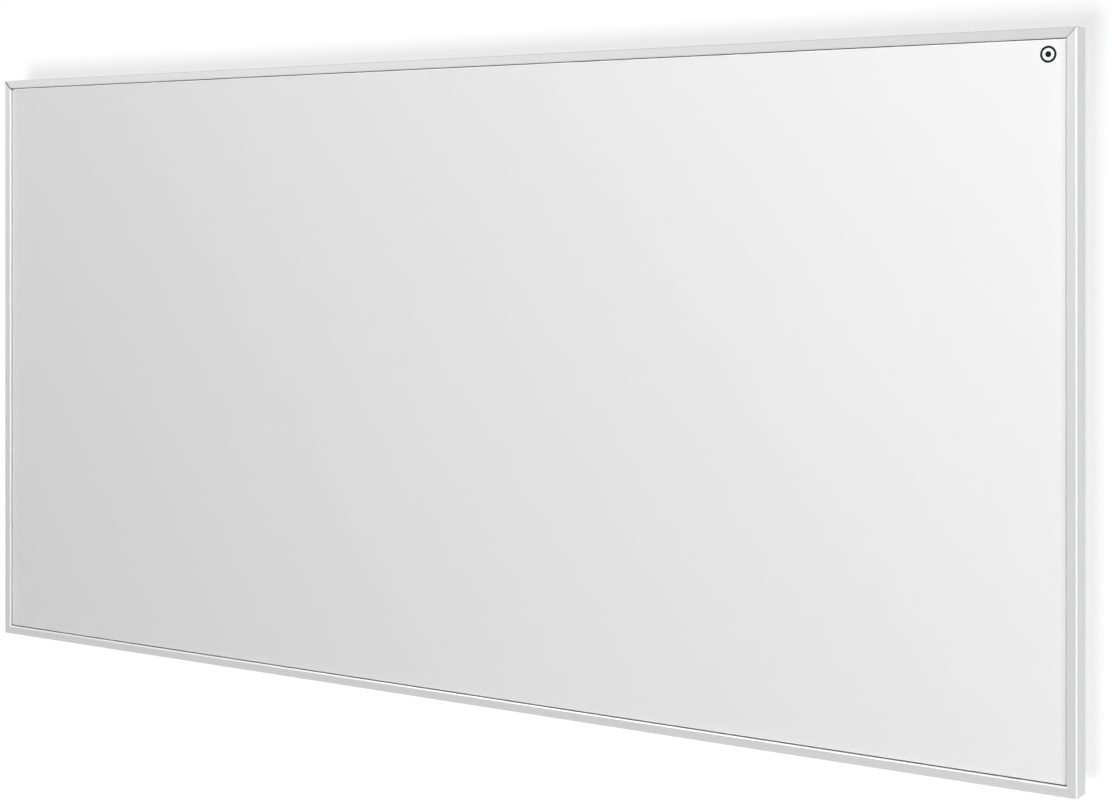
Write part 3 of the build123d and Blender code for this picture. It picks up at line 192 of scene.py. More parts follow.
def room_paint(name, colour, paint_share, passes_light=False):
    """White to the eye and in reflections, with a share of real paint that takes shadows.

    It is clear from behind, and where it passes light the lamps shine through it too.
    """
    finish = Finish(name)
    seen = finish.node("ShaderNodeLightPath", output="Is Camera Ray")
    seen = seen + finish.node("ShaderNodeLightPath", output="Is Glossy Ray")
    seen = seen + finish.node("ShaderNodeLightPath", output="Is Transmission Ray")
    paint = finish.node("ShaderNodeBsdfDiffuse", None, {"Color": (*colour, 1.0)})
    glow = finish.node("ShaderNodeEmission", None, {"Color": (1.0, 1.0, 1.0, 1.0)})
    glow_share = seen * (1 - paint_share)
    surface = finish.node("ShaderNodeMixShader", None, {0: glow_share, 1: paint, 2: glow})
    hidden = finish.node("ShaderNodeNewGeometry", output="Backfacing")
    if passes_light:
        hidden = hidden + finish.node("ShaderNodeLightPath", output="Is Shadow Ray")
        hidden = hidden + finish.node("ShaderNodeLightPath", output="Is Diffuse Ray")
    clear = finish.node("ShaderNodeBsdfTransparent")
    surface = finish.node("ShaderNodeMixShader", None, {0: hidden > 0.5, 1: surface, 2: clear})
    finish.node("ShaderNodeOutputMaterial", None, {"Surface": surface})
    return finish.material


ROOM = 12.0
FLOOR = -1.6
wall = room_plane(
    "room_wall",
    [(-ROOM, 0, FLOOR), (ROOM, 0, FLOOR), (ROOM, 0, ROOM), (-ROOM, 0, ROOM)],
    room_paint("wall_paint", (1.0, 1.0, 1.0), 0.24, passes_light=True),
)
floor = room_plane(
    "room_floor",
    [(-ROOM, -ROOM, FLOOR), (ROOM, -ROOM, FLOOR), (ROOM, ROOM, FLOOR), (-ROOM, ROOM, FLOOR)],
    room_paint("floor_paint", (0.9, 0.9, 0.9), 0.3),
)

# ---- Light -------------------------------------------------------------------------------
# Soft boxes: the main one high on the right, a tall one at the right and a long one above.
# Three more are kept to one thing each: the wall, the frame bars and the top bar. The last
# one stands behind the wall, which lets it through, and lights the back of the heater.

AMBIENT = 0.12
world = bpy.data.worlds.new("room_air")
bpy.context.scene.world = world
world.use_nodes = True
air = Finish("room_air", world.node_tree)
shown = air.node("ShaderNodeLightPath", output="Is Camera Ray")
shown = shown + air.node("ShaderNodeLightPath", output="Is Glossy Ray")
shown = shown + air.node("ShaderNodeLightPath", output="Is Transmission Ray")
air_light = AMBIENT + (1 - AMBIENT) * shown
backdrop = air.node("ShaderNodeBackground", None, {"Strength": air_light})
air.node("ShaderNodeOutputWorld", None, {"Surface": backdrop})


def soft_box(name, place, aim, width, height, brightness):
    """A rectangular lamp of one brightness, where 1 is as bright as white paper."""
    lamp_data = bpy.data.lights.new(name, "AREA")
    lamp_data.shape = "RECTANGLE"
    lamp_data.size = width
    lamp_data.size_y = height
    lamp_data.energy = brightness * pi * width * height
    lamp = bpy.data.objects.new(name, lamp_data)
    lamp.location = place
    lamp.rotation_euler = (Vector(aim) - Vector(place)).to_track_quat("-Z", "Y").to_euler()
    bpy.context.scene.collection.objects.link(lamp)
    return lamp


def group_of(name, pieces, state):
    """The pieces that a lamp is kept to, or kept off, as studio flags do."""
    group = bpy.data.collections.new(name)
    for piece in pieces:
        group.objects.link(piece)
    for member in group.collection_objects:
        member.light_linking.link_state = state
    return group


main_box = soft_box("main_box", (2.11, -2.50, 1.88), (0.2, 0.0, 0.0), 1.2, 1.2, 22.6)
tall_box = soft_box("tall_box", (2.60, -1.20, -0.10), (0.0, 0.0, -0.05), 0.5, 2.4, 3.6)
long_box = soft_box("long_box", (-1.40, -0.80, 2.30), (-0.2, 0.0, 0.0), 3.0, 0.4, 7.2)
frame_box = soft_box("frame_box", (-2.10, -2.60, 1.10), (0.0, 0.0, 0.3), 2.8, 1.1, 0.55)
top_bar_box = soft_box("top_bar_box", (-0.95, -2.70, 0.95), (0.1, 0.0, 0.3), 4.6, 1.2, 0.39)
back_box = soft_box("back_box", (-0.60, 3.20, 1.60), (0.0, 0.0, 0.0), 2.4, 2.4, 5.0)
wall_box = soft_box("wall_box", (0.20, -2.70, -0.85), (-0.3, 0.0, 0.3), 1.15, 1.15, 22.0)
top_bar = nodes["frame_top"]
bars = [nodes["frame_" + side] for side in ("top", "bottom", "left", "right")]
off_top_bar = group_of("off_top_bar", [wall, top_bar], "EXCLUDE")
for lamp in (main_box, long_box, back_box):
    lamp.light_linking.receiver_collection = off_top_bar
tall_box.light_linking.receiver_collection = group_of("off_room", [wall, floor], "EXCLUDE")
frame_box.light_linking.receiver_collection = group_of("on_bars", bars, "INCLUDE")
top_bar_box.light_linking.receiver_collection = group_of("on_top_bar", [top_bar], "INCLUDE")
wall_box.light_linking.receiver_collection = group_of("on_wall", [wall], "INCLUDE")
past_bars = group_of("past_bars", [top_bar, nodes["frame_left"]], "EXCLUDE")
for lamp in (main_box, long_box):
    lamp.light_linking.blocker_collection = past_bars

# ---- Frame bars --------------------------------------------------------------------------
# Four bars of one aluminium extrusion, etched and anodised to a satin silver and mitred at
# the corners. Fine die lines run along each bar. Some front edges carry painted highlights,
# and the outer flanks are painted darker as shade. Painted shade darkens the inner wall of
# the top bar and the wall in the gap at the bottom, and a painted shadow lies in each top
# mitre.

LIP_WIDTH = 0.0085
INNER_EDGE = 0.0014
INNER_WALL_END = 0.0075  # how far back the inner wall goes from the front of the lip
OUTER_EDGE = 0.0010
SHADE_ROUND_EDGE = 0.0003  # how far the painted shade comes round the inner edge
MITRE_LINE = 0.0006  # width of the painted shadow line in a top mitre, halfway along the bar
MITRE_TAPER = 0.0005  # how much narrower it gets with each metre to the right
half_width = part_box("frame_right")[1][0]
half_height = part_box("frame_top")[1][2]
lip_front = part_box("frame_top")[0][1]


def anodised(bar, die_lines, painted_highlights, painted_shade_from=None):
    """Satin anodised aluminium, given its die lines, its painted edge highlights and where painted
    shade lies.
    """
    metal = Finish("anodised_" + bar)
    lines = metal.grain(die_lines, 3.0)
    etch = metal.grain((0.0003, 0.0003, 0.0003), 1.0)
    cloud = metal.grain((0.09, 0.02, 0.09), 2.0)
    to_side = half_width - abs(metal.along("X"))
    to_end = half_height - abs(metal.along("Z"))
    across = metal.node("ShaderNodeMath", {"operation": "MINIMUM"}, {0: to_side, 1: to_end})
    depth = metal.along("Y") - lip_front
    near_front = depth < INNER_EDGE
    # Painted highlights: the chosen front edges get a lighter silver, and smoother metal.
    painted_edge_highlight = near_front * (across > LIP_WIDTH - INNER_EDGE) * painted_highlights["inner"]
    painted_edge_highlight = painted_edge_highlight + near_front * (across < OUTER_EDGE) * painted_highlights["outer"]
    # Painted shade: the outer flanks of the bar get a darker silver.
    painted_shade_flank = (across < OUTER_EDGE / 2) * (depth > OUTER_EDGE)
    silver = metal.between(lines * 0.6 + cloud * 0.4, (0.72, 0.72, 0.723), (0.78, 0.782, 0.783))
    silver = metal.between(painted_shade_flank * (0.6 + lines * 0.2), silver, (0.61, 0.612, 0.615))
    silver = metal.between(painted_edge_highlight, silver, (0.86, 0.86, 0.86))
    # Painted shadow: a dark line along each top mitre, wider to the left.
    mitre_shadow_width = MITRE_LINE - MITRE_TAPER * metal.along("X")
    mitre_painted_shadow = (abs(to_side - to_end) < mitre_shadow_width) * (metal.along("Z") > 0)
    silver = metal.between(mitre_painted_shadow * 0.85, silver, (0.10, 0.10, 0.10))
    rough = 0.38 + 0.08 * lines + 0.04 * etch - 0.08 * painted_edge_highlight
    metallic = 0.9
    if painted_shade_from is not None:
        # Painted shade: the inner wall gets a near-black, dull, non-metal colour from this depth
        # back.
        painted_shade_and_dust = (across > LIP_WIDTH - SHADE_ROUND_EDGE) * (depth > painted_shade_from)
        painted_shade_and_dust = painted_shade_and_dust * (depth < INNER_WALL_END)
        silver = metal.between(painted_shade_and_dust, silver, (0.03, 0.03, 0.03))
        rough = rough + 0.4 * painted_shade_and_dust
        metallic = 0.9 - 0.9 * painted_shade_and_dust
    metal.coat(
        {
            "Base Color": silver,
            "Metallic": metallic,
            "Roughness": rough,
            "Normal": metal.relief(lines * 0.6 + etch * 0.4, 0.000006),
        },
        bar,
    )


ACROSS = (0.06, 0.0004, 0.0004)
UPRIGHT = (0.0004, 0.0004, 0.06)
anodised("frame_top", ACROSS, {"inner": 0.5, "outer": 0.0}, painted_shade_from=0.0007)
anodised("frame_bottom", ACROSS, {"inner": 1.0, "outer": 0.0}, painted_shade_from=0.0031)
anodised("frame_left", UPRIGHT, {"inner": 1.0, "outer": 0.0})
anodised("frame_right", UPRIGHT, {"inner": 0.6, "outer": 1.0})

# ---- Corner keys -------------------------------------------------------------------------
# Cast aluminium angles pushed into the channels of two bars, with a grey sand-like skin.
# Two zinc plated grub screws in each one wedge it against the extrusion.

casting = Finish("cast_aluminium")
skin = casting.grain((0.0006, 0.0006, 0.0006), 3.0)
pits = casting.grain((0.002, 0.002, 0.002), 1.0)
casting.coat(
    {
        "Base Color": casting.between(skin, (0.42, 0.42, 0.43), (0.60, 0.61, 0.62)),
        "Metallic": 1.0,
        "Roughness": 0.5 + 0.2 * skin,
        "Normal": casting.relief(skin * 0.7 + pits * 0.3, 0.00008),
    },
    "corner_key_top_left",
    "corner_key_top_right",
    "corner_key_bottom_left",
    "corner_key_bottom_right",
    "cutout_left_cup",
    "cutout_right_cup",
)

# ---- Front panel -------------------------------------------------------------------------
# A shallow tray of steel sheet with a fine white powder coat, which has a slight orange
# peel. It stands back behind the lip of the frame, so that its rim can grow as it heats.

FOLD_WIDTH = 0.0010
FOLD_DEPTH = 0.0006
face_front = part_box("front_panel")[0][1]
face_skin = [vertex.co for vertex in nodes["front_panel"].data.vertices]
face_top = max(place.z for place in face_skin if place.y < face_front + FOLD_WIDTH)
powder = Finish("white_powder_coat")
peel = powder.grain((0.0022, 0.0022, 0.0022), 2.0)
tooth = powder.grain((0.0004, 0.0004, 0.0004), 1.0)
drift = powder.grain((0.25, 0.25, 0.25), 1.0)
# Painted highlight: the top fold of the face is a lighter white, with a smoother coat.
painted_highlight_fold = powder.along("Z") > face_top - FOLD_WIDTH
painted_highlight_fold = painted_highlight_fold * (powder.along("Y") < face_front + FOLD_DEPTH)
white = powder.between(
    peel * 0.3 + tooth * 0.3 + drift * 0.4, (0.852, 0.853, 0.853), (0.872, 0.872, 0.871)
)
powder.coat(
    {
        "Base Color": powder.between(painted_highlight_fold, white, (0.94, 0.94, 0.94)),
        "Roughness": 0.52 + 0.08 * tooth - 0.2 * painted_highlight_fold,
        "Specular IOR Level": 0.4,
        "Normal": powder.relief(peel * 0.8 + tooth * 0.2, 0.00003, 0.35),
    },
    "front_panel",
)

# ---- Printed mark ------------------------------------------------------------------------
# A small plain ring with a dot in it, screen printed in near-black ink at the upper right
# of the face, where it shows which way up the panel hangs.

MARK_X = 0.576
MARK_Z = 0.2795
MARK_RADIUS = 0.0067
MARK_STROKE = 0.0018
MARK_DOT = 0.0024
INK = 0.00003  # thickness of a print
WELD = 0.000001
SHARP = radians(35)


def turned(mesh, centre, axis, profile, steps):
    """Turns a profile of radius and height round an axis."""
    side = axis.orthogonal().normalized()
    other = axis.cross(side)
    rings = []
    for radius, height in profile:
        middle = centre + axis * height
        if radius == 0:
            rings.append([mesh.verts.new(middle)] * steps)
            continue
        turns = [2 * pi * step / steps for step in range(steps)]
        ring = [mesh.verts.new(middle + (side * cos(a) + other * sin(a)) * radius) for a in turns]
        rings.append(ring)
    for lower, upper in zip(rings, rings[1:]):
        for step in range(steps):
            after = (step + 1) % steps
            corners = [lower[step], lower[after], upper[after], upper[step]]
            mesh.faces.new(list(dict.fromkeys(corners)))


def piece(name, mesh, body, slot, material):
    """Makes one piece of a mesh, and lets it ride on its body."""
    bmesh.ops.remove_doubles(mesh, verts=mesh.verts, dist=WELD)
    bmesh.ops.recalc_face_normals(mesh, faces=mesh.faces)
    data = bpy.data.meshes.new(name)
    mesh.to_mesh(data)
    mesh.free()
    data.materials.append(material)
    for polygon in data.polygons:
        polygon.use_smooth = True
    data.set_sharp_from_angle(angle=SHARP)
    made = bpy.data.objects.new(name, data)
    bpy.context.scene.collection.objects.link(made)
    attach(made, body)
    return made


def printing_ink(name, colour):
    """Screen printing ink: a thin matt film, a little uneven."""
    ink = Finish(name)
    film = ink.grain((0.0003, 0.0003, 0.0003), 2.0)
    darker = tuple(part * 0.6 for part in colour)
    sockets = {
        "Base Color": ink.between(film, darker, colour),
        "Roughness": 0.5 + 0.15 * film,
        "Specular IOR Level": 0.15,
        "Normal": ink.relief(film, 0.00001),
    }
    return ink.coat(sockets)


mark_centre = Vector((MARK_X, face_front, MARK_Z))
TO_FRONT = Vector((0, -1, 0))
mark = bmesh.new()
ring_inside = MARK_RADIUS - MARK_STROKE
ring_profile = [(ring_inside, 0), (ring_inside, INK), (MARK_RADIUS, INK), (MARK_RADIUS, 0)]
dot_profile = [(0, 0), (MARK_DOT, 0), (MARK_DOT, INK), (0, INK)]
turned(mark, mark_centre, TO_FRONT, [*ring_profile, ring_profile[0]], steps=96)
turned(mark, mark_centre, TO_FRONT, dot_profile, steps=48)
dark_ink = printing_ink("dark_ink", (0.006, 0.006, 0.006))
piece("printed_mark", mark, "panel", "switch_plastic", dark_ink)

# ---- Seals -------------------------------------------------------------------------------
# Grey silicone strip: one between the frame and the rim of the front panel, and one under
# the lid of the connection box. It has a dull skin with a little talc on it.

silicone = Finish("grey_silicone")
talc = silicone.grain((0.003, 0.003, 0.003), 3.0)
silicone.coat(
    {
        "Base Color": silicone.between(talc, (0.26, 0.26, 0.27), (0.40, 0.40, 0.40)),
        "Roughness": 0.65 + 0.2 * talc,
        "Normal": silicone.relief(silicone.grain((0.0004, 0.0004, 0.0004)), 0.00002),
    },
    "front_seal",
    "box_seal",
)

# ---- Heating laminate and its busbars ----------------------------------------------------
# A glass-fibre laminate with the resistive layer inside it: amber resin over a plain weave.
# A strip of rolled copper at each end brings the current in, browned here and there.

laminate = Finish("glass_laminate")
WEAVE = 0.0012
warp = (laminate.along("X") * (2 * pi / WEAVE)).sine()
weft = (laminate.along("Z") * (2 * pi / WEAVE)).sine()
weave = warp * weft * 0.5 + 0.5
resin = laminate.grain((0.03, 0.03, 0.03), 3.0)
laminate.coat(
    {
        "Base Color": laminate.between(
            weave * 0.4 + resin * 0.6, (0.34, 0.23, 0.08), (0.60, 0.46, 0.22)
        ),
        "Roughness": 0.35 + 0.15 * resin,
        "Coat Weight": 0.3,
        "Normal": laminate.relief(weave, 0.00003),
    },
    "heating_board",
)

copper = Finish("rolled_copper")
rolling = copper.grain((0.0004, 0.0004, 0.05), 2.0)
browning = copper.grain((0.012, 0.012, 0.03), 4.0)
copper.coat(
    {
        "Base Color": copper.between(browning**3.0, (0.80, 0.42, 0.26), (0.34, 0.15, 0.08)),
        "Metallic": 1.0,
        "Roughness": 0.25 + 0.2 * browning,
        "Normal": copper.relief(rolling, 0.000008),
    },
    "busbar_left",
    "busbar_right",
)

# ---- Reflector foil and insulation mat ---------------------------------------------------
# Bright aluminium foil, creased by hand, lies on the back of the laminate. Behind it is a
# pressed mat of mineral fibre, cream in colour, with loose fibres in every direction.

foil = Finish("reflector_foil")
crease = foil.node(
    "ShaderNodeTexVoronoi",
    {"feature": "DISTANCE_TO_EDGE"},
    {"Vector": foil.place(), "Scale": 28.0},
)
crinkle = foil.grain((0.012, 0.012, 0.012), 4.0)
foil.coat(
    {
        "Base Color": foil.between(crinkle, (0.84, 0.84, 0.85), (0.92, 0.92, 0.92)),
        "Metallic": 1.0,
        "Roughness": 0.14 + 0.12 * crinkle,
        "Normal": foil.relief(crease * 0.6 + crinkle * 0.4, 0.003),
    },
    "reflector_foil",
)

mat = Finish("mineral_fibre")
FIBRE_LENGTH = 0.012
FIBRE_WIDTH = 0.0006
curl = mat.grain((0.02, 0.02, 0.02), 2.0) * 0.008
tufts = mat.grain((0.03, 0.01, 0.03), 4.0)


def fibre_layer(degrees):
    """Fibres that lie at one angle in the plane of the mat, each a little curled."""
    lie = radians(degrees)
    x = mat.along("X") + curl
    z = mat.along("Z") - curl
    lengthways = x * cos(lie) + z * sin(lie)
    crossways = z * cos(lie) - x * sin(lie)
    spread = mat.node(
        "ShaderNodeCombineXYZ",
        None,
        {0: lengthways / FIBRE_LENGTH, 1: float(degrees), 2: crossways / FIBRE_WIDTH},
    )
    return mat.node("ShaderNodeTexNoise", None, {"Vector": spread, "Scale": 1.0, "Detail": 2.0})


fibres = fibre_layer(15)
for degrees in (60, 105, 150):
    layers = {0: fibres, 1: fibre_layer(degrees)}
    fibres = mat.node("ShaderNodeMath", {"operation": "MAXIMUM"}, layers)
mat.coat(
    {
        "Base Color": mat.between(
            fibres * 2.0 + tufts * 0.4 - 1.0, (0.55, 0.49, 0.33), (0.84, 0.80, 0.64)
        ),
        "Roughness": 0.95,
        "Normal": mat.relief(fibres * 0.5 + tufts * 0.5, 0.0006, 0.8),
    },
    "insulation_mat",
)

# ---- Thermal cut-outs --------------------------------------------------------------------
# Disc cut-outs that open if the laminate gets too hot: an aluminium cup against it, finished
# as the corner keys are, a base of cream steatite with a speckled biscuit surface, and two
# brass blades for the leads.

steatite = Finish("steatite")
speck = steatite.grain((0.0005, 0.0005, 0.0005), 2.0)
fired = steatite.grain((0.006, 0.006, 0.006), 2.0)
steatite.coat(
    {
        "Base Color": steatite.between(
            speck * 0.5 + fired * 0.5, (0.62, 0.56, 0.46), (0.88, 0.84, 0.76)
        ),
        "Roughness": 0.55 + 0.2 * speck,
        "Normal": steatite.relief(speck, 0.00004),
    },
    "cutout_left_base",
    "cutout_right_base",
)

brass = Finish("pressed_brass")
tarnish = brass.grain((0.004, 0.004, 0.004), 3.0)
press_lines = brass.grain((0.006, 0.0003, 0.0003), 2.0)
brass.coat(
    {
        "Base Color": brass.between(tarnish, (0.80, 0.62, 0.30), (0.55, 0.38, 0.15)),
        "Metallic": 1.0,
        "Roughness": 0.24 + 0.2 * tarnish,
        "Normal": brass.relief(press_lines, 0.000008),
    },
    "cutout_left_blades",
    "cutout_right_blades",
    "switch_blades",
    "terminal_clamps",
    "earth_ring_tag",
)

# ---- Back cover --------------------------------------------------------------------------
# Thin galvanised sheet with five pressed beads. The zinc has frozen into spangles of many
# greys, each with its own feathery lines, under a thin dull bloom.

SPANGLES = 105.0  # in a metre
SPANGLE_EDGE = 0.02  # of the width of a spangle
WOBBLES = 160.0  # in a metre
WOBBLE = 0.006
zinc = Finish("galvanised_sheet")
flat_place = zinc.node(
    "ShaderNodeVectorMath", {"operation": "MULTIPLY"}, {0: zinc.place(), 1: (1.0, 0.0, 1.0)}
)
wobble = zinc.node("ShaderNodeTexNoise", None, {"Vector": flat_place, "Scale": WOBBLES}, 1)
wobbled = zinc.node(
    "ShaderNodeVectorMath",
    {"operation": "MULTIPLY_ADD"},
    {0: wobble, 1: (WOBBLE, 0.0, WOBBLE), 2: flat_place},
)
spangle_colour = zinc.node("ShaderNodeTexVoronoi", None, {"Vector": wobbled, "Scale": SPANGLES}, 1)
spangle = zinc.node("ShaderNodeSeparateXYZ", None, {0: spangle_colour}, 0)
spangle_turn = zinc.node("ShaderNodeSeparateXYZ", None, {0: spangle_colour}, 1)
boundary = zinc.node(
    "ShaderNodeTexVoronoi",
    {"feature": "DISTANCE_TO_EDGE"},
    {"Vector": wobbled, "Scale": SPANGLES},
)
feather_across = zinc.grain((0.0006, 0.004, 0.006), 3.0)
feather_up = zinc.grain((0.006, 0.004, 0.0006), 3.0)
feather = feather_across * spangle_turn + feather_up * (1 - spangle_turn)
bloom = zinc.grain((0.12, 0.1, 0.12), 3.0)
sheet_grey = zinc.between(
    spangle * 0.6 + feather * 0.4, (0.41, 0.42, 0.43), (0.60, 0.61, 0.62)
)
sheet_grey = zinc.between(bloom * 0.35, sheet_grey, (0.60, 0.61, 0.61))
zinc.coat(
    {
        "Base Color": sheet_grey,
        "Metallic": 0.85,
        "Roughness": 0.30 + 0.16 * spangle_turn + 0.10 * bloom,
        "Normal": zinc.relief(feather * 0.4 + (boundary < SPANGLE_EDGE) * -0.4, 0.00002),
    },
    "back_cover",
)

# ---- Screws ------------------------------------------------------------------------------
# Small steel screws with a bright, faintly blue zinc plating: eighteen hold the back cover
# to the frame, four the lid, and others the corner keys, the terminals and the earth tag.

plated = Finish("zinc_plated_screws")
rub = plated.grain((0.0012, 0.0012, 0.0012), 3.0)
plating = plated.grain((0.02, 0.02, 0.02), 2.0)
plated_colour = plated.between(plating, (0.60, 0.62, 0.65), (0.70, 0.69, 0.66))
plated.coat(
    {
        "Base Color": plated.between(rub * 0.4, plated_colour, (0.45, 0.45, 0.46)),
        "Metallic": 1.0,
        "Roughness": 0.24 + 0.2 * rub,
        "Normal": plated.relief(rub, 0.00001),
    },
    "cover_screws",
    "lid_screws",
    "corner_key_screws",
    "terminal_screws",
    "earth_stud",
    "earth_nut",
)

# ---- Hanger brackets ---------------------------------------------------------------------
# Four hat-shaped brackets of zinc plated steel, each with a keyhole in its raised plate.
# The plating is silvery with faint straw and blue, and the rolled sheet shows through it.

bracket_zinc = Finish("bracket_zinc")
rolled = bracket_zinc.grain((0.0005, 0.0005, 0.03), 3.0)
tint = bracket_zinc.grain((0.018, 0.018, 0.018), 3.0)
scuff = bracket_zinc.grain((0.004, 0.002, 0.001), 4.0)
tinted = bracket_zinc.node(
    "ShaderNodeValToRGB",
    {
        "stops": [
            (0.0, (0.58, 0.62, 0.68)),
            (0.5, (0.66, 0.67, 0.67)),
            (0.75, (0.72, 0.69, 0.60)),
            (1.0, (0.64, 0.62, 0.66)),
        ]
    },
    {"Fac": tint},
)
bracket_zinc.coat(
    {
        "Base Color": bracket_zinc.between(rolled * 0.3, tinted, (0.50, 0.51, 0.52)),
        "Metallic": 1.0,
        "Roughness": 0.26 + 0.14 * scuff + 0.06 * rolled,
        "Normal": bracket_zinc.relief(rolled * 0.7 + scuff * 0.3, 0.000012),
    },
    "hanger_bracket_top_left",
    "hanger_bracket_top_right",
    "hanger_bracket_bottom_left",
    "hanger_bracket_bottom_right",
)

# ---- Blind rivets ------------------------------------------------------------------------
# Aluminium blind rivets, sixteen for the brackets and four for the connection box. Those of
# the brackets show the broken end of their steel pin in the middle of the head.

HEAD_WIDTH = 0.0064
HEAD_FLATNESS = 0.00001
PIN_RADIUS = 0.00095
PIN_RISE = 0.00022
rivet_metal = Finish("rivet_aluminium")
dents = rivet_metal.grain((0.0009, 0.0009, 0.0009), 2.0)
rivet_metal.coat(
    {
        "Base Color": rivet_metal.between(dents, (0.66, 0.66, 0.67), (0.80, 0.80, 0.80)),
        "Metallic": 1.0,
        "Roughness": 0.28 + 0.15 * dents,
        "Normal": rivet_metal.relief(dents, 0.00003),
    },
    "hanger_rivets",
    "box_rivets",
)


def rivet_heads(name):
    """The middle of each rivet head of a node, found from its rearmost flat."""
    vertices = [vertex.co for vertex in nodes[name].data.vertices]
    rear = max(place.y for place in vertices)
    heads = []
    for place in vertices:
        if place.y < rear - HEAD_FLATNESS:
            continue
        group = next((head for head in heads if (head[0] - place).length < HEAD_WIDTH), None)
        if group is None:
            heads.append([place])
        else:
            group.append(place)
    return [sum(head, Vector()) / len(head) for head in heads]


pin_steel = Finish("broken_pin_steel")
tear = pin_steel.grain((0.0003, 0.0003, 0.0003), 3.0)
pin_finish = pin_steel.coat(
    {
        "Base Color": pin_steel.between(tear, (0.16, 0.16, 0.17), (0.42, 0.42, 0.43)),
        "Metallic": 1.0,
        "Roughness": 0.4 + 0.3 * tear,
        "Normal": pin_steel.relief(tear, 0.00006),
    }
)
TO_WALL = Vector((0, 1, 0))
pin_profile = [
    (0, 0),
    (PIN_RADIUS, 0),
    (PIN_RADIUS, PIN_RISE * 0.5),
    (PIN_RADIUS * 0.8, PIN_RISE * 0.8),
    (PIN_RADIUS * 0.4, PIN_RISE),
    (0, PIN_RISE * 0.9),
]
pins = bmesh.new()
for head in rivet_heads("hanger_rivets"):
    turned(pins, head, TO_WALL, pin_profile, steps=16)
piece("rivet_pins", pins, "panel", "zinc_plated_steel", pin_finish)

# ---- Wall studs --------------------------------------------------------------------------
# Four studs turned from bright steel bar and screwed to the wall. The tool has left fine
# rings on their faces, which catch the light in a fan.

TOOL_FEED = 0.00035  # from one ring to the next
for corner in ("top_left", "top_right", "bottom_left", "bottom_right"):
    stud = "wall_stud_" + corner
    lowest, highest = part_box(stud)
    centre_x = (lowest[0] + highest[0]) / 2
    centre_z = (lowest[2] + highest[2]) / 2
    steel = Finish("turned_steel_" + corner)
    out = ((steel.along("X") - centre_x) ** 2.0 + (steel.along("Z") - centre_z) ** 2.0) ** 0.5
    tool_marks = ((out + steel.along("Y")) * (2 * pi / TOOL_FEED)).sine() * 0.5 + 0.5
    oil = steel.grain((0.006, 0.006, 0.006), 3.0)
    steel.coat(
        {
            "Base Color": steel.between(oil, (0.55, 0.56, 0.57), (0.68, 0.69, 0.70)),
            "Metallic": 1.0,
            "Roughness": 0.20 + 0.10 * tool_marks + 0.10 * oil,
            "Normal": steel.relief(tool_marks, 0.000012),
        },
        stud,
    )

# ---- Connection box ----------------------------------------------------------------------
# A shallow box and lid of light grey ABS, riveted to the back cover. Its moulds were spark
# eroded, so its faces have a fine even grain, with faint flow marks across the lid.

abs_plastic = Finish("grey_abs")
spark = abs_plastic.grain((0.00035, 0.00035, 0.00035), 2.0)
flow = abs_plastic.grain((0.05, 0.02, 0.008), 2.0)
abs_plastic.coat(
    {
        "Base Color": abs_plastic.between(
            flow * 0.6 + spark * 0.4, (0.58, 0.59, 0.585), (0.66, 0.67, 0.665)
        ),
        "Roughness": 0.48 + 0.14 * spark,
        "Normal": abs_plastic.relief(spark, 0.00003),
    },
    "connection_box",
    "box_lid",
)

# ---- Cable gland -------------------------------------------------------------------------
# A nylon gland through the underside of the box: a body and locknut, a dome nut, and the
# black rubber ring that the nut squeezes round the cable. The nylon has a waxy sheen. The
# grommet through the back of the box is of the same rubber.

nylon = Finish("grey_nylon")
wax = nylon.grain((0.003, 0.003, 0.003), 3.0)
nylon.coat(
    {
        "Base Color": nylon.between(wax, (0.27, 0.28, 0.29), (0.34, 0.35, 0.36)),
        "Roughness": 0.34 + 0.12 * wax,
        "Normal": nylon.relief(nylon.grain((0.0006, 0.0006, 0.0006)), 0.00002),
    },
    "gland_body",
    "gland_locknut",
    "gland_nut",
)

rubber = Finish("black_rubber")
painted_shade_and_dust = rubber.grain((0.002, 0.002, 0.002), 4.0)
rubber.coat(
    {
        "Base Color": rubber.between(painted_shade_and_dust, (0.012, 0.012, 0.012), (0.05, 0.05, 0.05)),
        "Roughness": 0.6 + 0.25 * painted_shade_and_dust,
        "Normal": rubber.relief(rubber.grain((0.0005, 0.0005, 0.0005)), 0.00003),
    },
    "gland_seal",
    "wire_grommet",
)

# ---- Rocker switch -----------------------------------------------------------------------
# A snap-in rocker switch of black nylon with a soft gloss. A white bar and a white ring
# are printed on its rocker for on and off, and tip with it.

switch_nylon = Finish("switch_nylon")
moulding = switch_nylon.grain((0.0004, 0.0004, 0.0004), 2.0)
touch = switch_nylon.grain((0.004, 0.004, 0.004), 3.0)
switch_nylon.coat(
    {
        "Base Color": switch_nylon.between(touch, (0.012, 0.012, 0.013), (0.028, 0.028, 0.029)),
        "Roughness": 0.26 + 0.16 * touch,
        "Normal": switch_nylon.relief(moulding, 0.000012),
    },
    "switch_housing",
    "switch_rocker",
)

MARK_FROM_MIDDLE = 0.0048
BAR_LENGTH = 0.0032
BAR_WIDTH = 0.0006
ROUND_OUTSIDE = 0.0016
ROUND_INSIDE = 0.0011
BELOW_ROCKER = 0.01
white_ink = printing_ink("white_ink", (0.80, 0.80, 0.79))
rocker_mesh = nodes["switch_rocker"].data
rocker_skin = BVHTree.FromPolygons(
    [vertex.co for vertex in rocker_mesh.vertices],
    [polygon.vertices for polygon in rocker_mesh.polygons],
)
rocker_low, rocker_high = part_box("switch_rocker")
rocker_x = (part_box("switch_housing")[0][0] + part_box("switch_housing")[1][0]) / 2
rocker_y = (rocker_low[1] + rocker_high[1]) / 2


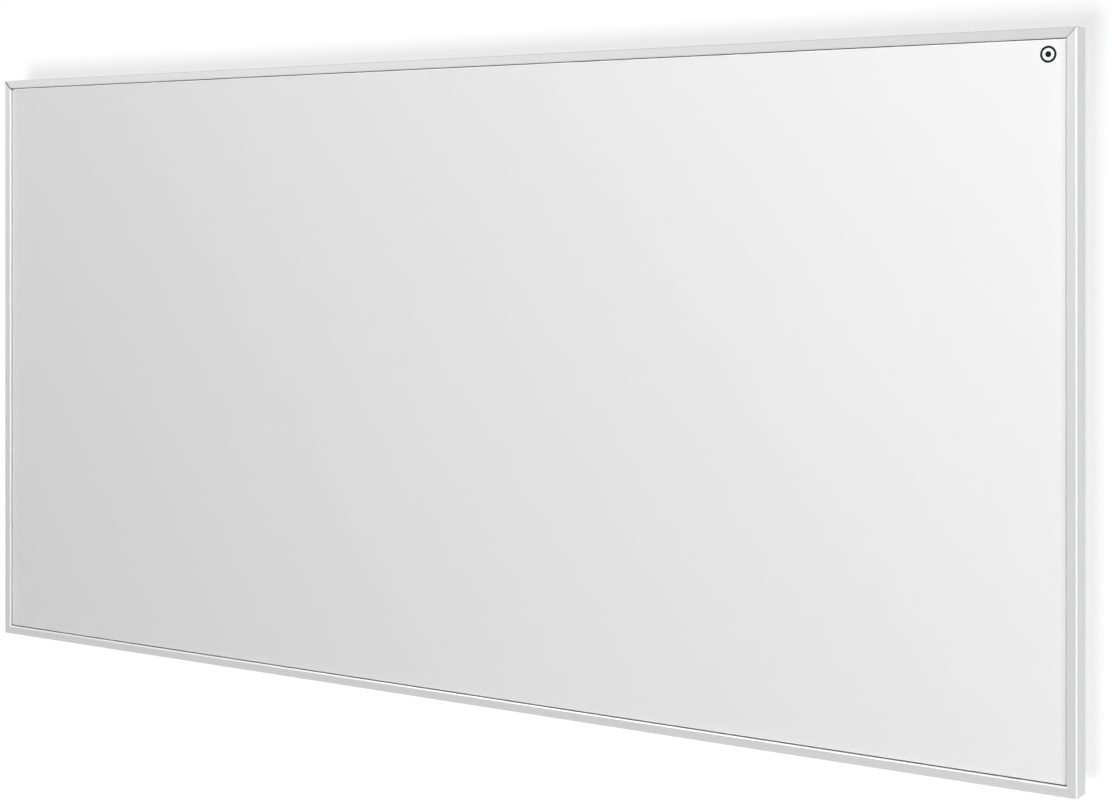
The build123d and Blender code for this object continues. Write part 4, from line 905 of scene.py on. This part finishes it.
def on_rocker(x, y, lift):
    """A point on the rocker's face, seen from below, and raised off it by the ink."""
    below = Vector((x, y, rocker_low[2] - BELOW_ROCKER))
    hit = rocker_skin.ray_cast(below, Vector((0, 0, 1)))
    return hit[0] - Vector((0, 0, lift))


def printed_film(name, outlines):
    """A thin film of ink between two outlines that follows the rocker's face."""
    film = bmesh.new()
    for outer, inner in outlines:
        rings = [
            [film.verts.new(on_rocker(x, y, lift)) for x, y in outline]
            for outline, lift in ((outer, 0), (outer, INK), (inner, INK), (inner, 0))
        ]
        for one, other in zip(rings, [*rings[1:], rings[0]]):
            for step in range(len(one)):
                after = (step + 1) % len(one)
                film.faces.new([one[step], one[after], other[after], other[step]])
    piece(name, film, "rocker", "lead_white", white_ink)


def circle(x, y, radius, steps=40):
    turns = [2 * pi * step / steps for step in range(steps)]
    return [(x + radius * cos(turn), y + radius * sin(turn)) for turn in turns]


off_x = rocker_x - MARK_FROM_MIDDLE
on_x = rocker_x + MARK_FROM_MIDDLE
printed_film(
    "off_ring",
    [(circle(off_x, rocker_y, ROUND_OUTSIDE), circle(off_x, rocker_y, ROUND_INSIDE))],
)
bar_outer = [
    (on_x + side_x * BAR_WIDTH / 2, rocker_y + side_y * BAR_LENGTH / 2)
    for side_x, side_y in ((-1, -1), (1, -1), (1, 1), (-1, 1))
]
# The bar is solid, so its inner outline is little more than a line along its middle.
bar_inner = [(on_x + (x - on_x) * 0.02, rocker_y + (y - rocker_y) * 0.8) for x, y in bar_outer]
printed_film("on_bar", [(bar_outer, bar_inner)])

# ---- Terminal block ----------------------------------------------------------------------
# A three-way block of natural polyamide, ivory and a little waxy, with brass clamps in it.
# It stands on the floor of the connection box above the gland.

ivory = Finish("ivory_polyamide")
cloudy = ivory.grain((0.005, 0.005, 0.005), 3.0)
ivory.coat(
    {
        "Base Color": ivory.between(cloudy, (0.68, 0.66, 0.58), (0.80, 0.79, 0.73)),
        "Roughness": 0.38 + 0.1 * cloudy,
        "Normal": ivory.relief(ivory.grain((0.0006, 0.0006, 0.0006)), 0.00002),
    },
    "terminal_block",
)

# ---- Internal leads ----------------------------------------------------------------------
# Stranded leads between the terminals, the switch, the cut-outs and the busbars. The live,
# neutral and earth leads have coloured skins, and the other three a woven glass sleeve.


def lead_skin(name, dull, bright, lead):
    """A smooth insulated lead, with the slight unevenness of extruded rubber."""
    skin = Finish(name)
    uneven = skin.grain((0.004, 0.004, 0.004), 3.0)
    skin.coat(
        {
            "Base Color": skin.between(uneven, dull, bright),
            "Roughness": 0.36 + 0.14 * uneven,
            "Normal": skin.relief(uneven, 0.00004),
        },
        lead,
    )


lead_skin("brown_lead", (0.10, 0.045, 0.022), (0.17, 0.08, 0.04), "live_lead")
lead_skin("blue_lead", (0.03, 0.10, 0.34), (0.05, 0.16, 0.46), "neutral_lead")

striped = Finish("striped_earth_lead")
STRIPE = 0.0034
around = striped.along("X") + striped.along("Z") + striped.along("Y") * 1.4
stripes = (around * (2 * pi / STRIPE)).sine() > 0.2
striped.coat(
    {
        "Base Color": striped.between(stripes, (0.03, 0.24, 0.05), (0.72, 0.62, 0.04)),
        "Roughness": 0.38 + 0.1 * striped.grain((0.004, 0.004, 0.004)),
        "Normal": striped.relief(striped.grain((0.002, 0.002, 0.002)), 0.00003),
    },
    "earth_lead",
)

sleeve = Finish("woven_glass_sleeve")
BRAID = 0.0009
leaning = ((sleeve.along("X") + sleeve.along("Z") + sleeve.along("Y")) * (2 * pi / BRAID)).sine()
crossing = ((sleeve.along("X") - sleeve.along("Z") + sleeve.along("Y")) * (2 * pi / BRAID)).sine()
braid = leaning * crossing * 0.5 + 0.5
sleeve.coat(
    {
        "Base Color": sleeve.between(braid, (0.56, 0.55, 0.50), (0.82, 0.81, 0.78)),
        "Roughness": 0.55 + 0.2 * braid,
        "Normal": sleeve.relief(braid, 0.00008),
    },
    "switched_lead",
    "link_lead",
    "busbar_lead",
)
